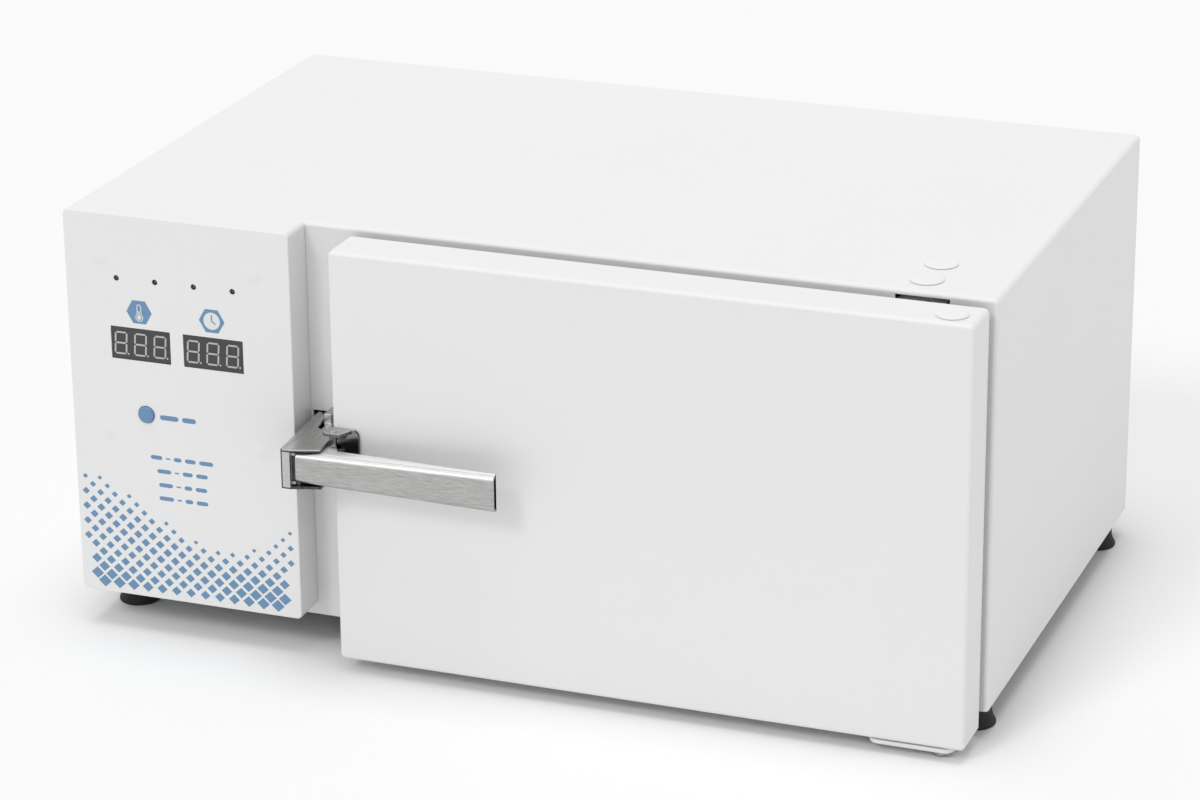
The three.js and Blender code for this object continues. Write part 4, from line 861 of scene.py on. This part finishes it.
# Cap: a thin disc whose rim slopes down in a quarter ellipse, on a short stem
def capPiece(node, body):
    low, high = boxOf(node)
    x, y, _ = (low + high) / 2
    radius, top, under, stem = (high[0] - low[0]) / 2, high[2], high[2] - capLook["thickness"], capLook["stem"]
    bend = np.linspace(0, pi / 2, 6)
    rim = [(radius - capLook["slope"] * (1 - sin(a)), top - capLook["round"] * (1 - cos(a))) for a in bend]
    flat = [(0, top), (radius * 0.6, top - 0.01)]
    rest = [(radius, under), (stem, under), (stem, low[2]), (0, low[2])]
    piece = turned(node + "_disc", flat + rim + rest, (x, y), "z", whitePlastic, body, 64)
    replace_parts(piece, node)


capPiece("case_cap_1", "case")
capPiece("case_cap_2", "case")
capPiece("door_cap", "door")
softened("upper_hinge_arm", [(everywhere, 0.4, 2)], whitePaint)
softened("lower_hinge_plate", [(everywhere, 0.5, 2)], whitePaint)
softened("lower_pivot_pin", [(everywhere, 0.4, 2)], zincSteel)
for node in ("upper_pivot_pin", "upper_pivot_bush", "thrust_washer", "lower_pivot_bush"):
    softened(node, [(everywhere, 0.2, 2)], zincSteel)
print("door, hinge and caps made")


# Latch

leverLook = {
    "front": -60.0, "wall": 1.5, "fold": 4.0, "middle": 116.5, "leftHalf": 9.4, "rightHalf": 11.2, "webLeft": -115.8,
    "right": 5.0, "back": {-115.8: -39.0, -99.5: -39.0, -94.0: -49.5, 5.0: -55.5}, "lip": 0.35, "steps": 6,
    "trim": 0.25, "pin": (-116.0, -55.5), "roll": 4.5, "rollWall": 1.2, "round": 5.2, "earRight": -115.8,
    "earBack": -39.0,
}


# Half the lever's height, growing evenly from its left end to its right end
def leverHalf(x):
    look = leverLook
    growth = look["rightHalf"] - look["leftHalf"]
    return look["leftHalf"] + growth * (x - look["webLeft"]) / (look["right"] - look["webLeft"])


# An outline of (x, y) repeated at two heights
def leverPlate(name, outline, levels, material):
    points = np.stack([np.column_stack([outline, np.full(len(outline), level)]) for level in levels])
    putMesh(name, points, gridFaces(*points.shape[:2]), material, "lever", 50)


# Lever: a channel section carried along x; its depth follows the straight runs of leverLook["back"]
def makeLever():
    look = leverLook
    ends = np.array(sorted(look["back"].items()))
    last = look["right"] - look["trim"]
    stations = np.unique(np.concatenate([np.linspace(*ends[[0, -1], 0], 60), ends[:, 0], [last]]))
    quarter = np.linspace(0, pi / 2, look["steps"])
    rows = []
    for x in stations:
        trim = look["trim"] if x > last + 0.1 else 0.0  # the section shrinks at the free end
        half, wall = leverHalf(x) - trim, look["wall"] - 2 * trim
        front, back = look["front"] + trim, np.interp(x, *ends.T) - trim
        bend, inner, lip = look["fold"], look["fold"] - wall, min(look["lip"], wall / 2.5)
        outerArc = np.stack([front + bend - bend * np.sin(quarter), half - bend + bend * np.cos(quarter)], axis=-1)
        innerArc = np.stack([front + bend - inner * np.sin(quarter), half - bend + inner * np.cos(quarter)], axis=-1)
        upper = np.concatenate([[(back, half - lip), (back - lip, half)], outerArc])
        under = np.concatenate([innerArc[::-1], [(back - lip, half - wall), (back, half - wall + lip)]])
        section = np.concatenate([upper, upper[::-1] * (1, -1), under[::-1] * (1, -1), under])
        rows.append(np.column_stack([np.full(len(section), x), section[:, 0], look["middle"] + section[:, 1]]))
    points = np.stack(rows)
    piece = putMesh("lever_channel", points, gridFaces(*points.shape[:2]), leverSteel, "lever", 50)
    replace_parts(piece, "latch_lever")

    # faces that look up a little are the fold, and those that look straight up the flange; they take lighter copies
    # of the lever's steel as painted highlight, while the front keeps the darker steel as painted shade
    facing = np.zeros(len(piece.data.polygons) * 3)
    piece.data.polygons.foreach_get("normal", facing)
    piece.data.materials.append(foldHighlightSteel)
    piece.data.materials.append(flangeHighlightSteel)
    up = facing[2::3]
    piece.data.polygons.foreach_set("material_index", ((up > 0.4) * 1 + (up > 0.97) * 1).astype(np.int32))

    # the web's left end is rolled back round the link pin: an arc about the pin, one wall thick, in near-black steel
    # as painted shade from the web
    angle = np.linspace(-0.5 * pi, -1.12 * pi, 20)
    outer, inner, way = look["roll"], look["roll"] - look["rollWall"], angle[::-1]
    ring = np.concatenate([
        np.stack([outer * np.cos(angle), outer * np.sin(angle)], axis=-1),
        np.stack([inner * np.cos(way), inner * np.sin(way)], axis=-1),
    ]) + look["pin"]
    half = look["leftHalf"] - look["wall"] - 0.1
    leverPlate("lever_roll", ring, (look["middle"] - half, look["middle"] + half), paintedShadeSteel)

    # the two flanges run on round the link pin as plates with a rounded end
    angle = np.linspace(0.5 * pi, 1.42 * pi, 24)
    arc = look["pin"] + look["round"] * np.stack([np.cos(angle), np.sin(angle)], axis=-1)
    arc[:, 1] = np.maximum(arc[:, 1], look["front"])
    shoulder = [(look["earRight"], look["earBack"]), (look["pin"][0] - 0.2, look["earBack"])]
    outline = np.concatenate([shoulder, arc[arc[:, 0] < look["earRight"]], [(look["earRight"], look["front"])]])
    for side, name in ((1, "upper_lever_ear"), (-1, "lower_lever_ear")):
        levels = [look["middle"] + side * (look["leftHalf"] - depth) for depth in (0, look["wall"])]
        leverPlate(name, outline, levels, leverSteel)


latchLook = {
    "linkEdge": 0.45, "baseEdge": 0.45, "keeperEdge": 0.6,
    "webOffset": 3.8, "darkEdge": 0.8, "earSheet": 1.7, "webWidth": 4.7,
    "rivetLeft": 5.5, "rivetDeep": 6.4, "rivetRadius": 2.8, "rivetHeight": 0.75,
}
makeLever()

linkBox, baseBox = boxOf("latch_link"), boxOf("latch_base")
linkLeft = linkBox[0][0] + latchLook["webOffset"] + latchLook["darkEdge"]
linkLow = linkBox[0][2] + latchLook["darkEdge"]
linkHigh = [linkBox[1][2] - latchLook["earSheet"], linkBox[1][2] - latchLook["darkEdge"]]


# Painted shade on the link: dark strips along the left and lower edge of its web, the lower ear's edge and the lower
# part of the upper ear's, where shade falls by its rounded edges and gaps
def onPaintedShadeEdge(middles):
    x, y, z = middles.T
    front = y < linkBox[0][1] + 0.05
    rim = (x < linkLeft) | (z < linkLow)
    lowerEar = (z < linkBox[0][2] + latchLook["earSheet"]) & (x > linkLeft + latchLook["webWidth"])
    upperEar = (z > linkHigh[0]) & (z < linkHigh[1])
    return (front & rim) | lowerEar | upperEar


# Top flange of the base plate, which keeps the lighter latch steel as a lit top above the painted shade of the rest
def onFlange(middles):
    return middles[:, 2] > baseBox[1][2] - 1.0


# Rivet that stands at the left end of that flange
def onRivet(middles):
    (left, _, _), (_, back, top) = baseBox
    x, y, z = middles.T
    away = np.hypot(x - left - latchLook["rivetLeft"], y - back + latchLook["rivetDeep"])
    return (away < latchLook["rivetRadius"]) & (z > top - latchLook["rivetHeight"])


# the link's strips along its edges take the near-black steel: painted shade under its rounded edges
softened(
    "latch_link", [(everywhere, latchLook["linkEdge"], 3)], latchSteel,
    parts=[(onPaintedShadeEdge, paintedShadeSteel)],
    cuts=[((linkLeft, 0, 0), (1, 0, 0))] + [((0, 0, z), (0, 0, 1)) for z in (linkLow, *linkHigh)],
)
# the base plate is near-black as painted shade and dark reflection, its top flange lighter as a lit top, and its
# rivet in keeper steel
softened(
    "latch_base", [(everywhere, latchLook["baseEdge"], 3)], basePaintedShadeSteel,
    parts=[(onFlange, latchSteel), (onRivet, keeperSteel)],
)
softened("latch_keeper", [(everywhere, latchLook["keeperEdge"], 3)], keeperSteel)
for node in ("lever_pin", "link_pin"):
    softened(node, [(everywhere, 0.25, 2)], pinSteel)
print("latch made")


# Chamber with its rails, trays and heaters

softened("chamber_liner", [(everywhere, 0.3, 2)], linerSteel)
for node in ("left_rail", "right_rail"):
    softened(node, [(everywhere, 0.2, 1)], linerSteel)
for node in ("lower_tray", "upper_tray"):
    softened(node, [(everywhere, 0.2, 1)], traySteel)
softened("temperature_probe", [(everywhere, 0.3, 2)], pinSteel)

heaterLook = {"tube": 3.2, "drawn": 0.98, "legs": 5, "round": 12, "bend": 16, "straight": 3}


# Heater: a circle carried along legs joined by half turns; the frame is the path's side and the vertical
def heaterPiece(node):
    low, high = boxOf(node)
    tube, legs = heaterLook["tube"], heaterLook["legs"]
    pitch = (high[0] - low[0] - 2 * tube) / (legs - 1)
    bend = pitch / 2
    front, rear, z = low[1] + tube + bend, high[1] - tube - bend, (low[2] + high[2]) / 2
    path = []
    for leg in range(legs):
        x = low[0] + tube + leg * pitch
        start, end = (rear, front) if leg % 2 else (front, rear)
        share = np.linspace(0, 1, heaterLook["straight"])
        path.append(np.stack([np.full(len(share), x), start + (end - start) * share], axis=-1))
        if leg < legs - 1:
            angle = np.linspace(0, pi, heaterLook["bend"] + 1)[1:-1]
            way = -1 if leg % 2 else 1
            path.append(np.stack([x + bend * (1 - np.cos(angle)), end + way * bend * np.sin(angle)], axis=-1))
    path = np.concatenate(path)
    ahead = np.gradient(path, axis=0)
    ahead /= np.linalg.norm(ahead, axis=1, keepdims=True)
    side = np.stack([-ahead[:, 1], ahead[:, 0]], axis=-1)
    angle = np.linspace(0, 2 * pi, heaterLook["round"], endpoint=False)
    radius = tube * heaterLook["drawn"]
    flat = path[:, None] + radius * np.cos(angle)[None, :, None] * side[:, None]
    rise = z + radius * np.sin(angle)[None, :] + 0 * flat[..., 0]
    points = np.concatenate([flat, rise[..., None]], axis=-1)
    piece = putMesh(node + "_tube", points, gridFaces(*points.shape[:2]), pinSteel, "case", 50)
    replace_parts(piece, node)


heaterPiece("lower_heater")
heaterPiece("upper_heater")
print("chamber made")


# Inlet, fuse drawer and switch at the rear

inletLook = {"halfRoom": 9, "floor": 14.9, "mouth": 2, "height": 57, "bladeTall": 5.5, "bladeThick": 1.2, "pitch": 7}
inletBox = boxOf("power_inlet")
inletX, inletFace = sum(inletBox)[0] / 2, inletBox[1][1]


# Three blades in the socket, one in its middle and one at either side
def onBlades(middles):
    look = inletLook
    away, depth, height = np.abs(middles[:, 0] - inletX), middles[:, 1], np.abs(middles[:, 2] - look["height"])
    inside = (away < look["halfRoom"]) & (depth > inletFace - look["floor"]) & (depth < inletFace - look["mouth"])
    blade = (away < look["bladeThick"]) | (np.abs(away - look["pitch"]) < look["bladeThick"])
    return inside & (height < look["bladeTall"]) & blade


softened("power_inlet", [(everywhere, 0.35, 2)], blackPlastic, parts=[(onBlades, pinSteel)])
for node in ("fuse_drawer", "power_switch_body", "power_switch_rocker"):
    softened(node, [(everywhere, 0.3, 2)], blackPlastic)
print("inlet and switch made")


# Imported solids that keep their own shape

kept = {
    "chamber_insulation": stoneWool, "door_insulation": stoneWool,
    "display_board": greenBoard, "control_board": greenBoard,
    "tact_switch": blackPlastic, "overheat_switch": blackPlastic, "heater_relay": blackPlastic, "bulkhead": zincSteel,
    "transformer_core": zincSteel, "transformer_coil": copperWinding,
}
for node, material in kept.items():
    nodes[node].data.materials.clear()
    nodes[node].data.materials.append(material)
print("kept nodes finished")


# Floor, world and lamps

stageLook = {"floorSide": 9.0, "floorTone": (0.90, 0.90, 0.90), "world": 0.62}
lampLook = {
    "key": {"energy": 1.00, "toward": (0.03, -0.08, 0.99), "softness": 32},
    "fill": {"energy": 0.60, "toward": (-0.24, -0.72, 0.64), "softness": 14},
}


def makeStage():
    side = stageLook["floorSide"]
    data = bpy.data.meshes.new("floor")
    data.from_pydata([(-side, -side, 0), (side, -side, 0), (side, side, 0), (-side, side, 0)], [], [(0, 1, 2, 3)])
    floor = bpy.data.objects.new("floor", data)
    bpy.context.scene.collection.objects.link(floor)
    f = Finish("floor_paper")
    data.materials.append(f.end(colour=stageLook["floorTone"], roughness=0.9))

    # what the camera and reflections see is white, and what lights the object is weaker
    world = bpy.data.worlds.new("studio")
    bpy.context.scene.world = world
    world.use_nodes = True
    tree = world.node_tree
    tree.nodes.clear()
    rays = tree.nodes.new("ShaderNodeLightPath")
    seen = Value(tree, rays.outputs["Is Camera Ray"]).most(Value(tree, rays.outputs["Is Glossy Ray"]))
    seen = seen.most(Value(tree, rays.outputs["Is Transmission Ray"]))
    level = seen * (1 - stageLook["world"]) + stageLook["world"]
    sky = tree.nodes.new("ShaderNodeBackground")
    sky.inputs["Color"].default_value = (1, 1, 1, 1)
    tree.links.new(level.output, sky.inputs["Strength"])
    out = tree.nodes.new("ShaderNodeOutputWorld")
    tree.links.new(sky.outputs[0], out.inputs["Surface"])

    for name, look in lampLook.items():
        data = bpy.data.lights.new(name, "SUN")
        data.energy, data.angle = look["energy"], radians(look["softness"])
        lamp = bpy.data.objects.new(name, data)
        bpy.context.scene.collection.objects.link(lamp)
        lamp.rotation_mode = "QUATERNION"
        lamp.rotation_quaternion = Vector(look["toward"]).to_track_quat("Z", "Y")


makeStage()
bpy.context.scene.view_settings.view_transform = "Standard"
print("stage set")
